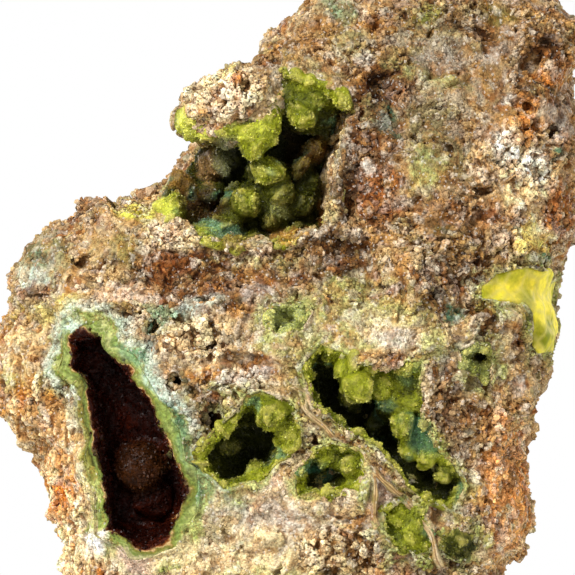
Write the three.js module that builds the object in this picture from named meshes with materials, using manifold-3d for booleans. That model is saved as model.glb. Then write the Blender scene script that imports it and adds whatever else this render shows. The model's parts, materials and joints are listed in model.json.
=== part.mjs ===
// A variscite specimen: a crumbly phosphate rock whose hollows are lined with green crusts,
// with one yellow vein on its right flank. Millimetres, +Z up. The front, with the hollows,
// faces -Y, and the rock stands on a flat broken base at Z = 0 with the origin inside it.
import * as THREE from "three";
import { mergeVertices } from "three/addons/utils/BufferGeometryUtils.js";
import Module from "manifold-3d";

const wasm = await Module();
wasm.setup();

// ---- Driving dimensions -------------------------------------------------------------------
const CORE = { x: 2, z: 34 }; // the middle of the front outline
const FRONT_DEPTH = 17.5; // from the outline's plane to the front face
const BACK_DEPTH = 19.5; // from the outline's plane to the back
const SQUARENESS = 3.2; // 2 is an ellipse in section, and larger is boxier
const MEAN_RADIUS = 31; // of the outline
const FRONT_STEP = 3.1; // spacing of the rings that make the front face
const BACK_STEP = 4.2; // and the back
const RELIEF = [[8, 1.2], [3.7, 1.1], [1.9, 0.7]]; // the broken surface: [width, height]
const FRACTURE_SHARPNESS = 0.85; // 1 cuts a fracture's facet quite flat
const GAP = 0.3; // clearance between the rock and each crust
const PROUD = 0.35; // how far a crust's rim stands out of the broken face
const KNOB_PROUD = 0.9; // and how far its knobs may
const OUTSIDE = 40; // well past the rock on any side

// The rock's outline seen from the front, [x, z], clockwise from under the base. It runs below
// the base plane, where it is cut off flat.
const ROCK_OUTLINE = [
  [0, -7], [-10, -6.5],
  [-19.5, -5], [-21.6, 0], [-23.0, 2.4], [-23.4, 5.3], [-24.2, 7.5], [-24.0, 9.8],
  [-26.0, 12.8], [-25.9, 17.0], [-27.8, 19.5], [-29.6, 21.0], [-31.3, 22.8], [-32.2, 25.6],
  [-32.4, 28.9], [-31.6, 31.6], [-30.0, 33.4], [-29.7, 36.2], [-29.3, 39.3], [-27.7, 41.7],
  [-25.2, 42.1], [-23.6, 42.8], [-22.5, 44.2], [-21.6, 46.2], [-20.5, 45.9], [-19.7, 44.2],
  [-17.8, 44.9], [-14.8, 46.1], [-13.0, 48.3], [-10.3, 49.2], [-9.0, 51.0], [-7.8, 53.2],
  [-7.2, 56.4], [-6.5, 60.2], [-4.2, 61.4], [-2.5, 62.9], [-0.4, 63.8], [1.1, 66.0],
  [3.4, 67.4], [6.6, 68.2], [9.4, 69.8], [12.6, 71.4], [16.7, 72.5], [21.7, 72.2],
  [26.1, 70.6], [29.3, 68.1], [31.5, 65.8], [31.9, 63.7], [30.8, 60.8], [29.8, 58.3],
  [31.2, 56.2], [31.9, 53.6], [31.1, 51.2], [30.7, 49.4], [31.5, 47.0], [31.3, 43.6],
  [29.5, 41.6], [29.3, 39.1], [28.4, 36.2], [28.9, 33.4], [29.3, 31.6], [28.5, 28.3],
  [27.7, 25.3], [26.0, 22.9], [25.0, 20.3], [24.4, 17.2], [25.8, 15.3], [26.3, 13.2],
  [25.6, 10.6], [25.1, 7.4], [23.4, 6.2], [23.0, 3.4], [21.8, 0], [19.5, -5], [13, -6.2],
  [6.5, -6.8],
];

// Broad swells (+) and hollows (-) of the front face: [x, z, radius x, radius z, height].
const SWELLS = [
  [17, 56, 9, 8, 2.2], // the shoulder at the upper right
  [7.5, 51, 3.4, 11, -3.8], // the rusty valley beside the upper hollow
  [-4, 38.5, 9, 3.4, -2.6], // the valley's foot, running to the left
  [-22, 38, 6, 5, 1.6], // the knob at the upper left
  [-27, 26, 4, 7, 1.2], // the porous lobe at the left
  [-5, 28, 7, 4, 0.9], // the chalky hump in the middle
  [17, 35, 7, 5, 1.2], // the hump beside the vein
  [20, 19, 4, 8, 0.8], // the mottled wall right of the slot
  [0, 6, 16, 5, 1.0], // the foot
];

// Fracture planes that leave flat facets: a point on the plane and its outward normal.
const FRACTURES = [
  [[14, -17.5, 47], [0.05, -0.93, 0.36]],
  [[-16, -14.5, 40], [-0.35, -0.86, 0.36]],
  [[-20, -13.5, 16], [-0.36, -0.93, -0.04]],
  [[24, -12, 20], [0.5, -0.86, -0.05]],
  [[0, 17.5, 30], [-0.1, 0.99, 0.05]],
  [[8, 15, 54], [0.12, 0.84, 0.52]],
  [[-18, 13, 34], [-0.62, 0.76, 0.18]],
  [[22, 13.5, 34], [0.66, 0.74, 0.06]],
  [[0, 15.5, 9], [0.05, 0.9, -0.42]],
];

// Small open pits in the rock: [x, z, radius, depth].
const PITS = [
  [-14.6, 32.2, 1.5, 2.6], [-12.3, 27.0, 1.1, 3.0], [-8.7, 22.7, 1.9, 3.2],
  [26.9, 61.0, 1.7, 2.6], [28.6, 53.8, 1.3, 2.2], [25.4, 56.4, 1.5, 2.0],
  [16.2, 35.2, 1.2, 2.2], [14.0, 52.6, 1.3, 1.4], [-22.5, 40.0, 1.2, 1.6],
];

// ---- Small tools --------------------------------------------------------------------------
const clamp = (v, low, high) => Math.min(high, Math.max(low, v));
const mix = (a, b, t) => a + (b - a) * t;
const smooth = (t) => t * t * (3 - 2 * t);

// A repeatable number from 0 to 1 for a lattice point.
function lattice(i, j, k) {
  let h = Math.imul(i, 374761393) ^ Math.imul(j, 668265263) ^ Math.imul(k, 1274126177);
  h = Math.imul(h ^ (h >>> 13), 1103515245);
  return ((h ^ (h >>> 16)) >>> 0) / 4294967296;
}

// Smooth noise from -1 to 1, one lattice cell to a millimetre.
function noise(x, y, z) {
  const [i, j, k] = [x, y, z].map(Math.floor);
  const [u, v, w] = [x - i, y - j, z - k].map(smooth);
  const edge = (b, c) => mix(lattice(i, j + b, k + c), lattice(i + 1, j + b, k + c), u);
  const face = (c) => mix(edge(0, c), edge(1, c), v);
  return 2 * mix(face(0), face(1), w) - 1;
}

function solidFrom(geometry) {
  const bare = new THREE.BufferGeometry();
  const loose = geometry.index ? geometry.toNonIndexed() : geometry;
  bare.setAttribute("position", loose.getAttribute("position"));
  const merged = mergeVertices(bare, 1e-4);
  return new wasm.Manifold(new wasm.Mesh({
    numProp: 3,
    vertProperties: new Float32Array(merged.attributes.position.array),
    triVerts: new Uint32Array(merged.index.array),
  }));
}

function geometryFrom(solid) {
  const mesh = solid.getMesh();
  const geometry = new THREE.BufferGeometry();
  const at = new Float32Array(mesh.numVert * 3);
  for (let i = 0; i < mesh.numVert; i++) {
    const first = i * mesh.numProp;
    at.set(mesh.vertProperties.subarray(first, first + 3), i * 3);
  }
  geometry.setAttribute("position", new THREE.BufferAttribute(at, 3));
  geometry.setIndex(new THREE.BufferAttribute(new Uint32Array(mesh.triVerts), 1));
  geometry.computeVertexNormals();
  return geometry;
}

// A solid from rings of points, each closed, and a point at each end. Neighbouring rings have
// the same count, or one has twice the other's.
function solidFromRings(firstPoint, rings, lastPoint) {
  const points = [];
  const triangles = [];
  const place = (p) => points.push(p) - 1;
  const start = place(firstPoint);
  const indexed = rings.map((ring) => ring.map(place));
  const end = place(lastPoint);
  const fan = (ring, apex, flip) => ring.forEach((a, i) => {
    const b = ring[(i + 1) % ring.length];
    triangles.push(flip ? [apex, b, a] : [apex, a, b]);
  });
  fan(indexed[0], start, false);
  for (let r = 0; r + 1 < indexed.length; r++) {
    const [inner, outer] = [indexed[r], indexed[r + 1]];
    const steps = Math.max(inner.length, outer.length);
    for (let i = 0; i < steps; i++) {
      const at = (ring, s) => ring[Math.floor((s * ring.length) / steps) % ring.length];
      const [a, b] = [at(inner, i), at(inner, i + 1)];
      const [c, d] = [at(outer, i), at(outer, i + 1)];
      if (a !== b) triangles.push([a, d, b]);
      if (c !== d) triangles.push([a, c, d]);
    }
  }
  fan(indexed[indexed.length - 1], end, true);
  const geometry = new THREE.BufferGeometry();
  geometry.setAttribute("position", new THREE.Float32BufferAttribute(points.flat(), 3));
  geometry.setIndex(triangles.flat());
  const solid = solidFrom(geometry);
  if (solid.volume() > 0) return solid;
  geometry.setIndex(triangles.map(([a, b, c]) => [a, c, b]).flat());
  return solidFrom(geometry);
}

// A rough boulder shape, such as a lump or a pit: its middle, its radii and its tilt about Y.
function lump([x, y, z], [rx, ry, rz], detail = 1, tilt = 0, rough = 0.12) {
  const geometry = new THREE.IcosahedronGeometry(1, detail);
  const at = geometry.attributes.position;
  const point = new THREE.Vector3();
  for (let i = 0; i < at.count; i++) {
    point.fromBufferAttribute(at, i);
    const wobble = 1 + rough * noise(point.x * 1.7 + x, point.y * 1.7 + y, point.z * 1.7 + z);
    at.setXYZ(i, point.x * rx * wobble, point.y * ry * wobble, point.z * rz * wobble);
  }
  geometry.rotateY(tilt);
  geometry.translate(x, y, z);
  return solidFrom(geometry);
}

function largest(solid) {
  return solid.decompose().sort((a, b) => b.volume() - a.volume())[0];
}

// ---- The rock -----------------------------------------------------------------------------
// The profile from the middle of a face out to the outline: [share of the outline's radius,
// share of the depth], at even steps along the curve.
function profile(spacing) {
  const curve = [];
  const fine = 400;
  for (let i = 0; i <= fine; i++) {
    const angle = (i / fine) * (Math.PI / 2);
    const across = Math.sin(angle) ** (2 / SQUARENESS);
    curve.push([across, Math.cos(angle) ** (2 / SQUARENESS)]);
  }
  const kept = [];
  let run = 0;
  for (let i = 1; i <= fine; i++) {
    const [dr, dd] = [curve[i][0] - curve[i - 1][0], curve[i][1] - curve[i - 1][1]];
    run += Math.hypot(dr * MEAN_RADIUS, dd * FRONT_DEPTH);
    if (run < spacing || fine - i < 4) continue;
    kept.push(curve[i]);
    run = 0;
  }
  return kept;
}

// The outline as offsets from the core, smoothed a little where the faces are reached.
const SPOKES = ROCK_OUTLINE.map(([x, z]) => [x - CORE.x, z - CORE.z]);
const spoke = (i, spread) => {
  const count = SPOKES.length;
  let [x, z] = [0, 0];
  for (let s = -spread; s <= spread; s++) {
    const [sx, sz] = SPOKES[(i + s + count) % count];
    x += sx / (2 * spread + 1);
    z += sz / (2 * spread + 1);
  }
  return [x, z];
};

function swell(x, z) {
  return SWELLS.reduce((sum, [cx, cz, rx, rz, height]) => (
    sum + height * Math.exp(-(((x - cx) / rx) ** 2) - ((z - cz) / rz) ** 2)
  ), 0);
}

// Turns a plain point of the pillow shape into a point of the broken rock.
function weather([x, y, z], share, extra) {
  const facing = 1 - share ** 4;
  const point = new THREE.Vector3(x, y < 0 ? y - swell(x, z) * facing : y, z);
  for (const [on, normal] of FRACTURES) {
    const out = new THREE.Vector3(...normal).normalize();
    const over = point.clone().sub(new THREE.Vector3(...on)).dot(out);
    if (over > 0) point.addScaledVector(out, -over * FRACTURE_SHARPNESS);
  }
  const away = new THREE.Vector3(point.x - CORE.x, point.y, point.z - CORE.z).normalize();
  const relief = RELIEF.reduce((sum, [width, height]) => (
    sum + height * noise(x / width + height, y / width + width, z / width)
  ), 0);
  return point.addScaledVector(away, relief * mix(0.3, 1, facing) + extra);
}

// A ring has all of the outline's points, half of them or a quarter, by its share of the radius.
const FRONT_COUNTS = { whole: 0.6, half: 0.3 };
const BACK_COUNTS = { whole: 0.96, half: 0.5 };
const EASING = { front: 0.2, back: 0.33, spread: 3 }; // how soon the outline's teeth fade

// The whole rock, uncut, with its surface moved outwards by some distance.
function rockBlank(extra = 0) {
  const ring = ([across, depth], side, { whole, half }) => {
    const step = across > whole ? 1 : across > half ? 2 : 4;
    const eased = side < 0 ? (1 - across) / EASING.front : depth / EASING.back;
    const spread = Math.round(EASING.spread * smooth(clamp(eased, 0, 1)));
    const points = [];
    for (let i = 0; i < SPOKES.length; i += step) {
      const [sx, sz] = spoke(i, spread);
      const plain = [CORE.x + sx * across, side * depth, CORE.z + sz * across];
      points.push(weather(plain, across, extra).toArray());
    }
    return points;
  };
  const front = profile(FRONT_STEP).map((share) => ring(share, -FRONT_DEPTH, FRONT_COUNTS));
  const back = profile(BACK_STEP).map((share) => ring(share, BACK_DEPTH, BACK_COUNTS)).reverse();
  const rim = ring([1, 0], 1, FRONT_COUNTS);
  return solidFromRings(
    weather([CORE.x, -FRONT_DEPTH, CORE.z], 0, extra).toArray(),
    [...front, rim, ...back],
    weather([CORE.x, BACK_DEPTH, CORE.z], 0, extra).toArray(),
  );
}

function underBase() {
  const box = new THREE.BoxGeometry(4 * OUTSIDE, 4 * OUTSIDE, OUTSIDE);
  box.translate(0, 0, -OUTSIDE / 2);
  return solidFrom(box);
}

const blank = rockBlank();
const proudBlank = rockBlank(PROUD);
const knobLimit = rockBlank(KNOB_PROUD);

// How deep a solid's surface lies at a place, met by looking along +Y, or along -Y from behind.
function surfaceOf(solid, direction) {
  const material = new THREE.MeshBasicMaterial();
  const target = new THREE.Mesh(geometryFrom(solid), material);
  const ray = new THREE.Raycaster();
  return (x, z) => {
    ray.set(new THREE.Vector3(x, -OUTSIDE * direction, z), new THREE.Vector3(0, direction, 0));
    const hit = ray.intersectObject(target)[0];
    return hit ? hit.point.y : 0;
  };
}

const faceY = surfaceOf(blank, 1);

// ---- Hollows and their crusts -------------------------------------------------------------
// Each hollow: its mouth (a closed curve through a few points, [x, z]), how deep it goes, how
// its floor leans away from the mouth's middle, how full its sides are, and its crust. Knobs
// are the crust's round masses: [x, z, radius, how far the middle stands off the floor].
const HOLLOWS = {
  upper_crust: {
    mouth: [
      [-4.6, 59.2], [-1.6, 59.9], [1.8, 59.4], [5.0, 57.9], [6.9, 55.2], [6.3, 51.4],
      [4.9, 47.2], [4.2, 42.6], [0.6, 41.9], [-3.4, 41.2], [-7.2, 41.5], [-11.4, 42.9],
      [-14.6, 46.0], [-17.0, 51.6], [-14.8, 57.2], [-9.0, 60.4],
    ],
    depth: 11, lean: [1.5, 0.5], fullness: 2.6, crust: 1.3, beads: 7, beadSize: 1.3,
    knobs: [
      [0.4, 58.3, 1.9, 2.2], [2.8, 57.6, 2.1, 2.0], [1.4, 55.6, 2.2, 3.4], [4.3, 55.6, 1.7, 1.6],
      [4.3, 53.4, 1.8, 1.4], [2.6, 51.6, 1.8, 2.0], [1.2, 49.6, 1.5, 2.6], [2.6, 47.9, 1.5, 1.6],
      [-2.5, 49.4, 2.1, 3.6], [-0.9, 47.0, 1.9, 3.0], [-4.7, 45.9, 2.2, 3.2],
      [1.2, 45.6, 1.8, 2.0], [-1.9, 44.4, 1.9, 2.0], [-7.2, 43.6, 1.7, 1.6],
      [-7.6, 50.4, 1.7, 1.2], [-8.8, 47.0, 1.8, 1.8], [-12.6, 45.4, 1.8, 1.0],
      [-15.4, 46.2, 1.5, 0.6],
    ],
  },
  dark_pocket_crust: {
    mouth: [
      [-24.0, 31.4], [-22.4, 32.5], [-20.7, 31.6], [-20.2, 29.9], [-17.6, 28.6],
      [-15.2, 24.2], [-13.4, 19.8], [-10.9, 14.4], [-12.2, 11.4], [-13.2, 9.0],
      [-16.4, 8.5], [-19.8, 9.9], [-20.5, 15.0], [-21.2, 20.2], [-22.0, 26.4],
      [-23.9, 28.0],
    ],
    depth: 9.5, lean: [0.6, 0.2], fullness: 4.5, crust: 1.8, beads: 5, beadSize: 0.8,
    knobs: [[-16.4, 16.8, 3.2, 1.6], [-14.6, 13.2, 2.4, 0.8]],
  },
  slot_crust: {
    mouth: [
      [1.7, 28.2], [2.9, 30.2], [4.6, 30.4], [5.6, 29.2], [8.0, 28.0], [10.6, 28.6],
      [13.9, 28.0], [14.7, 26.0], [14.7, 22.9], [15.4, 20.2], [17.6, 18.0], [19.5, 15.8],
      [18.8, 12.3], [16.2, 13.1], [13.6, 15.2], [11.3, 17.8], [7.9, 20.6], [3.9, 23.3],
      [2.0, 25.8],
    ],
    depth: 10, lean: [-1.9, -1.5], fullness: 2.4, crust: 0.9, beads: 5, beadSize: 1.1,
    knobs: [
      [6.2, 28.2, 1.3, 1.0], [7.5, 26.0, 1.9, 4.2], [6.4, 24.2, 1.3, 2.0], [10.2, 26.2, 1.7, 2.2],
      [12.4, 26.4, 1.6, 1.0], [11.2, 24.2, 1.9, 2.8], [13.2, 24.0, 1.6, 1.4], [9.8, 22.4, 1.5, 1.6],
      [12.4, 21.6, 1.9, 3.0], [13.1, 19.4, 1.6, 2.4], [15.2, 18.4, 1.4, 1.4],
      [16.8, 16.2, 1.3, 1.2],
    ],
  },
  left_bowl_crust: {
    mouth: [
      [-9.7, 18.9], [-7.8, 20.7], [-5.4, 22.8], [-4.3, 24.6], [-1.4, 24.7], [0.4, 23.3],
      [0.8, 21.1], [0.2, 18.6], [-1.6, 17.2], [-4.4, 15.6], [-7.0, 14.4], [-9.0, 16.4],
    ],
    depth: 7.5, lean: [-0.4, -0.9], fullness: 1.9, crust: 0.9, beads: 5, beadSize: 1.0,
    knobs: [[-1.8, 22.8, 2.0, 3.4], [0.0, 20.4, 1.4, 1.6], [-3.4, 16.6, 1.5, 1.4], [-7.0, 19.4, 1.2, 1]],
  },
  right_bowl_crust: {
    mouth: [
      [1.3, 16.9], [3.2, 18.6], [5.2, 19.5], [7.2, 18.6], [8.4, 16.4], [7.9, 14.6],
      [6.2, 14.4], [4.4, 14.6], [2.8, 13.8], [1.2, 13.6], [1.0, 15.2],
    ],
    depth: 6, lean: [-0.9, -0.7], fullness: 2.0, crust: 0.75, beads: 6, beadSize: 0.8,
    knobs: [[6.4, 17.0, 1.3, 1.2], [4.0, 17.8, 1.2, 0.8]],
  },
  small_pocket_crust: {
    mouth: [
      [-2.4, 33.0], [-1.3, 34.4], [0.4, 34.7], [2.0, 34.2], [2.6, 33.3], [1.6, 32.2],
      [0.2, 31.8], [-1.7, 31.9],
    ],
    depth: 3.4, lean: [-0.5, 0], fullness: 2.2, crust: 0.75, beads: 2, beadSize: 0.7,
    knobs: [[1.4, 33.0, 0.9, 0.6]],
  },
  pit_crust: {
    mouth: [
      [18.8, 29.2], [20.0, 30.2], [21.6, 29.9], [22.1, 28.4], [21.2, 26.8], [19.6, 27.3],
    ],
    depth: 3.6, lean: [0.2, 0.2], fullness: 2.2, crust: 0.8, beads: 0, beadSize: 0.7,
    knobs: [],
  },
  lower_patch_crust: {
    mouth: [
      [10.4, 12.2], [12.2, 12.8], [14.0, 12.2], [15.2, 10.6], [15.4, 8.8], [14.2, 7.6],
      [12.2, 7.9], [10.6, 9.4],
    ],
    depth: 1.6, lean: [0, 0], fullness: 3, crust: 0.9, beads: 0, beadSize: 1.0,
    knobs: [[11.8, 11.2, 1.3, 0.6], [13.8, 10.4, 1.4, 0.6], [13.0, 8.8, 1.2, 0.6]],
  },
  lower_edge_crust: {
    mouth: [
      [16.9, 9.2], [18.2, 9.8], [19.7, 9.9], [20.4, 8.8], [19.4, 7.5], [17.6, 7.7],
    ],
    depth: 1.6, lean: [0, 0], fullness: 3, crust: 0.9, beads: 0, beadSize: 0.9,
    knobs: [[18.6, 8.8, 1.3, 0.6]],
  },
};

// A smooth closed mouth as points, in the outline's own order.
function mouthPoints(mouth, count) {
  const through = mouth.map(([x, z]) => new THREE.Vector3(x, 0, z));
  const curve = new THREE.CatmullRomCurve3(through, true, "centripetal");
  return curve.getSpacedPoints(count).slice(0, count).map((p) => [p.x, p.z]);
}

// The same outline moved outwards by a distance; it runs clockwise, as the mouths do.
function grown(outline, distance) {
  return outline.map(([x, z], i) => {
    const [px, pz] = outline[(i + outline.length - 1) % outline.length];
    const [nx, nz] = outline[(i + 1) % outline.length];
    const along = new THREE.Vector2(nx - px, nz - pz).normalize();
    return [x - along.y * distance, z + along.x * distance];
  });
}

function middle(outline) {
  const sum = outline.reduce(([a, b], [x, z]) => [a + x, b + z], [0, 0]);
  return sum.map((v) => v / outline.length);
}

// The size of a hollow's section at a share of its depth, and the shares that get a section.
const narrowing = (share, fullness) => (1 - share ** fullness) ** (1 / fullness);
const HOLLOW_SHARES = [0, 0.5, 0.85];

// The space of a hollow, from well in front of the face down to its floor, grown all round.
function hollowSpace({ mouth, depth, lean, fullness }, growth) {
  const outline = mouthPoints(mouth, mouth.length);
  const [cx, cz] = middle(outline);
  const face = faceY(cx, cz);
  const wide = grown(outline, growth);
  const floor = depth + growth;
  const section = (t) => {
    const size = narrowing(t, fullness);
    const [sx, sz] = lean.map((v) => v * t);
    return wide.map(([x, z]) => [
      cx + (x - cx) * size + sx, face + floor * t, cz + (z - cz) * size + sz,
    ]);
  };
  const ahead = wide.map(([x, z]) => [x, -OUTSIDE, z]);
  return solidFromRings(
    [cx, -OUTSIDE, cz],
    [ahead, ...HOLLOW_SHARES.map(section)],
    [cx + lean[0], face + floor, cz + lean[1]],
  );
}

const BEAD_SHARES = [0.15, 0.9]; // how deep the beads lie, as shares of the hollow's depth
const BEAD_SIZES = [0.7, 1.2]; // the smallest and largest, as shares of beadSize

// The round masses of a crust: the named knobs, and beads spread over the hollow's wall.
function crustMasses(hollow) {
  const { mouth, depth, lean, fullness, knobs, beads, beadSize } = hollow;
  const outline = mouthPoints(mouth, Math.max(beads, 1)).slice(0, beads);
  const [cx, cz] = middle(mouth);
  const floorY = surfaceOf(hollowSpace(hollow, 0), -1);
  const masses = knobs.map(([x, z, radius, off]) => (
    lump([x, floorY(x, z) - off, z], [radius, Math.max(radius, off + 0.6), radius],
      radius > 2 ? 1 : 0)
  ));
  outline.forEach(([x, z], i) => {
    const t = mix(...BEAD_SHARES, lattice(i, beads, 3));
    const size = narrowing(t, fullness);
    const radius = beadSize * mix(...BEAD_SIZES, lattice(i, beads, 9));
    masses.push(lump(
      [cx + (x - cx) * size + lean[0] * t, faceY(cx, cz) + depth * t,
        cz + (z - cz) * size + lean[1] * t],
      [radius, radius, radius],
      0,
    ));
  });
  return masses;
}

function crust(hollow, extras = [], keepOff = []) {
  const bed = hollowSpace(hollow, hollow.crust - GAP);
  const shell = bed.subtract(hollowSpace(hollow, 0)).intersect(proudBlank);
  const masses = crustMasses(hollow).map((mass) => mass.intersect(knobLimit));
  const joined = [...masses, ...extras].reduce((all, mass) => all.add(mass), shell);
  const fitted = keepOff.reduce((rest, other) => rest.subtract(other), joined.intersect(bed));
  return largest(fitted);
}

// ---- The lip over the upper hollow --------------------------------------------------------
const LIP = { at: [-5.4, -9.6, 57.5], radii: [6.3, 6.0, 3.0], tilt: -0.3 };
const lipBody = (growth = 0) => (
  lump(LIP.at, LIP.radii.map((r) => r + growth), 2, LIP.tilt, 0.16)
);

// The green crust under the lip: a skin that hugs it from below and shows along its left edge,
// and the tongue that hangs from it.
const LIP_SKIN = { growth: [0.7, -0.2, 0.7], shift: [-0.55, 0.9, -0.9] };
const TONGUE = { at: [-3.0, -12.4, 53.7], radii: [2.2, 2.0, 3.1], tilt: 0.2 };

function lipCrust() {
  const skin = lump(
    LIP.at.map((v, k) => v + LIP_SKIN.shift[k]),
    LIP.radii.map((r, k) => r + LIP_SKIN.growth[k]),
    2, LIP.tilt, 0.16,
  );
  return [skin, lump(TONGUE.at, TONGUE.radii, 1, TONGUE.tilt)];
}

// ---- The thin septa: two raised blades that cross the lower face ---------------------------
const SEPTA = [
  [[0.6, 26.2], [1.9, 24.2], [3.7, 21.3], [6.2, 18.8], [9.0, 16.6], [11.4, 14.6],
    [14.0, 11.9], [15.8, 9.0], [16.8, 6.4]],
  [[8.5, 17.4], [9.3, 15.6], [9.0, 13.0], [9.4, 10.6], [10.2, 8.6]],
];
const SEPTUM = { width: 0.75, height: 0.9, root: 3.0 };

function septum(points) {
  const curve = new THREE.CatmullRomCurve3(points.map(([x, z]) => new THREE.Vector3(x, 0, z)));
  const stations = curve.getSpacedPoints(points.length * 2);
  const rings = stations.map((p, i) => {
    const before = stations[Math.max(0, i - 1)];
    const after = stations[Math.min(stations.length - 1, i + 1)];
    const along = new THREE.Vector2(after.x - before.x, after.z - before.z).normalize();
    const half = (SEPTUM.width / 2) * (i === 0 || i === stations.length - 1 ? 0.4 : 1);
    const top = faceY(p.x, p.z) - SEPTUM.height;
    const root = top + SEPTUM.height + SEPTUM.root;
    return [[-1, root], [-1, top], [1, top], [1, root]].map(([side, y]) => (
      [p.x - along.y * half * side, y, p.z + along.x * half * side]
    ));
  });
  const centre = (ring) => [0, 1, 2].map((k) => ring.reduce((s, p) => s + p[k] / 4, 0));
  return solidFromRings(centre(rings[0]), rings, centre(rings[rings.length - 1]));
}

// ---- The yellow vein ----------------------------------------------------------------------
// Its outline on the front, which runs out past the right flank, and how it pinches out towards
// the back: [y, how much smaller all round, rise].
const VEIN = {
  outline: [
    [20.6, 37.3], [22.4, 38.3], [25.6, 38.9], [40, 39.3], [40, 28.0], [27.0, 28.4],
    [26.3, 30.8], [26.2, 33.0], [25.2, 34.2], [23.0, 34.3], [20.8, 34.9],
  ],
  stations: [[-OUTSIDE, 0, 0], [-12, 0, 0], [-7, 0.5, 0.5], [-2, 0.7, -0.4], [3, 1.0, 0.8]],
  heart: [32, 36.6], // a place that all of the outline can be seen from
};

function veinSpace(growth) {
  const rings = VEIN.stations.map(([y, smaller, rise]) => (
    grown(VEIN.outline, growth - smaller).map(([x, z]) => [x, y + growth, z + rise])
  ));
  const [cx, cz] = VEIN.heart;
  const [ahead, behind] = [rings[0][0][1], rings[rings.length - 1][0][1]];
  return solidFromRings([cx, ahead, cz], rings, [cx, behind + 1, cz]);
}

// ---- Assembly -----------------------------------------------------------------------------
function rock() {
  let solid = blank.subtract(underBase());
  for (const hollow of Object.values(HOLLOWS)) {
    solid = solid.subtract(hollowSpace(hollow, hollow.crust));
  }
  solid = solid.subtract(veinSpace(0));
  for (const [x, z, radius, depth] of PITS) {
    solid = solid.subtract(lump([x, faceY(x, z) + 0.2, z], [radius, depth, radius], 0));
  }
  const blades = SEPTA.map(septum).reduce((all, blade) => all.add(blade));
  const beds = Object.values(HOLLOWS).map((hollow) => hollowSpace(hollow, hollow.crust));
  const clearBlades = beds.reduce((rest, bed) => rest.subtract(bed), blades);
  return largest(solid.add(clearBlades).add(lipBody()));
}

const FINISHES = {
  rock: { color: 0xb89468, roughness: 0.95 },
  green_crust: { color: 0x8f9a2c, roughness: 0.45 },
  banded_crust: { color: 0x6f8a45, roughness: 0.55 },
  yellow_vein: { color: 0xd4cf4a, roughness: 0.35 },
};

function piece(name, solid, finish) {
  const material = new THREE.MeshStandardMaterial({ ...FINISHES[finish], metalness: 0 });
  material.name = finish;
  const mesh = new THREE.Mesh(geometryFrom(solid), material);
  mesh.name = name;
  return mesh;
}

const specimen = new THREE.Group();
specimen.name = "variscite_specimen";
specimen.add(piece("rock", rock(), "rock"));
for (const [name, hollow] of Object.entries(HOLLOWS)) {
  const isUpper = name === "upper_crust";
  const solid = crust(hollow, isUpper ? lipCrust() : [], isUpper ? [lipBody(GAP)] : []);
  specimen.add(piece(name, solid, name === "dark_pocket_crust" ? "banded_crust" : "green_crust"));
}
const vein = veinSpace(-GAP).intersect(proudBlank);
specimen.add(piece("yellow_vein", largest(vein), "yellow_vein"));

export default specimen;
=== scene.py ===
"""A variscite specimen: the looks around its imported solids.

The rock and each crust are refined from their solids, roughened, painted by named zones and
covered with grains and small crystals. Sizes in the tables are millimetres in the part's own
frame, seen from the front: x to the right, z up, and y into the rock.
"""

import json
import math

import bmesh
import bpy
import numpy as np
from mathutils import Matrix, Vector
from mathutils.bvhtree import BVHTree

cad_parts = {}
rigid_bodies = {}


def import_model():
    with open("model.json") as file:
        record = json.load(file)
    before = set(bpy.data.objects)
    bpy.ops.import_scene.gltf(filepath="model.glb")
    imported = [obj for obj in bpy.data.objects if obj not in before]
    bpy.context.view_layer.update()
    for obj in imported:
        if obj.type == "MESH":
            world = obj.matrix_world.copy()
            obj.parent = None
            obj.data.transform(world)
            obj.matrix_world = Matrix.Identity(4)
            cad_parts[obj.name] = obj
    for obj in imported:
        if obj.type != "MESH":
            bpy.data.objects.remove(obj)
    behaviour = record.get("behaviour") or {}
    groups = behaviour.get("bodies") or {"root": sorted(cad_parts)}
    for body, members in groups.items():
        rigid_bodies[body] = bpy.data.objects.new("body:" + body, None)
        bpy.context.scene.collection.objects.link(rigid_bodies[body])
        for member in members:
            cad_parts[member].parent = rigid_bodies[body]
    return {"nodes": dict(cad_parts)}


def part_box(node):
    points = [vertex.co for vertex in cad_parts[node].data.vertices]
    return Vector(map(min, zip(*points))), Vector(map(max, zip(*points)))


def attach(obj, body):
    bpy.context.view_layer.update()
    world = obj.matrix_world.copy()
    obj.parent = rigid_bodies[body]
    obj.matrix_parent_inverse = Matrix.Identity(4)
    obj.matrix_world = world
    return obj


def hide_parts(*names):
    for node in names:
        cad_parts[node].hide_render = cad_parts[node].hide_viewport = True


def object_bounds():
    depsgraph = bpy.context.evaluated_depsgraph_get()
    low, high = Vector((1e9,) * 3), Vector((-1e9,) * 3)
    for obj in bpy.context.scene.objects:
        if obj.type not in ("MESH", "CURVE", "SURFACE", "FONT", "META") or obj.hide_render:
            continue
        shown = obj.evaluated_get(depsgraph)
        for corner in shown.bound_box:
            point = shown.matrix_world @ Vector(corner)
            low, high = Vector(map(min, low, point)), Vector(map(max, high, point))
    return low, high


bl_info = {
    "name": "Variscite Specimen",
    "version": (1, 0, 0),
    "blender": (4, 5, 0),
    "location": "3D Viewport > Sidebar > Specimen",
    "description": "Builds the rock, crusts, vein, grains and crystals of a variscite specimen",
    "category": "Object",
}

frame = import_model()
CAD_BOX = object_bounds()
MM = 0.001  # the tables are in millimetres and the scene is in metres
ROOT = "root"

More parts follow.
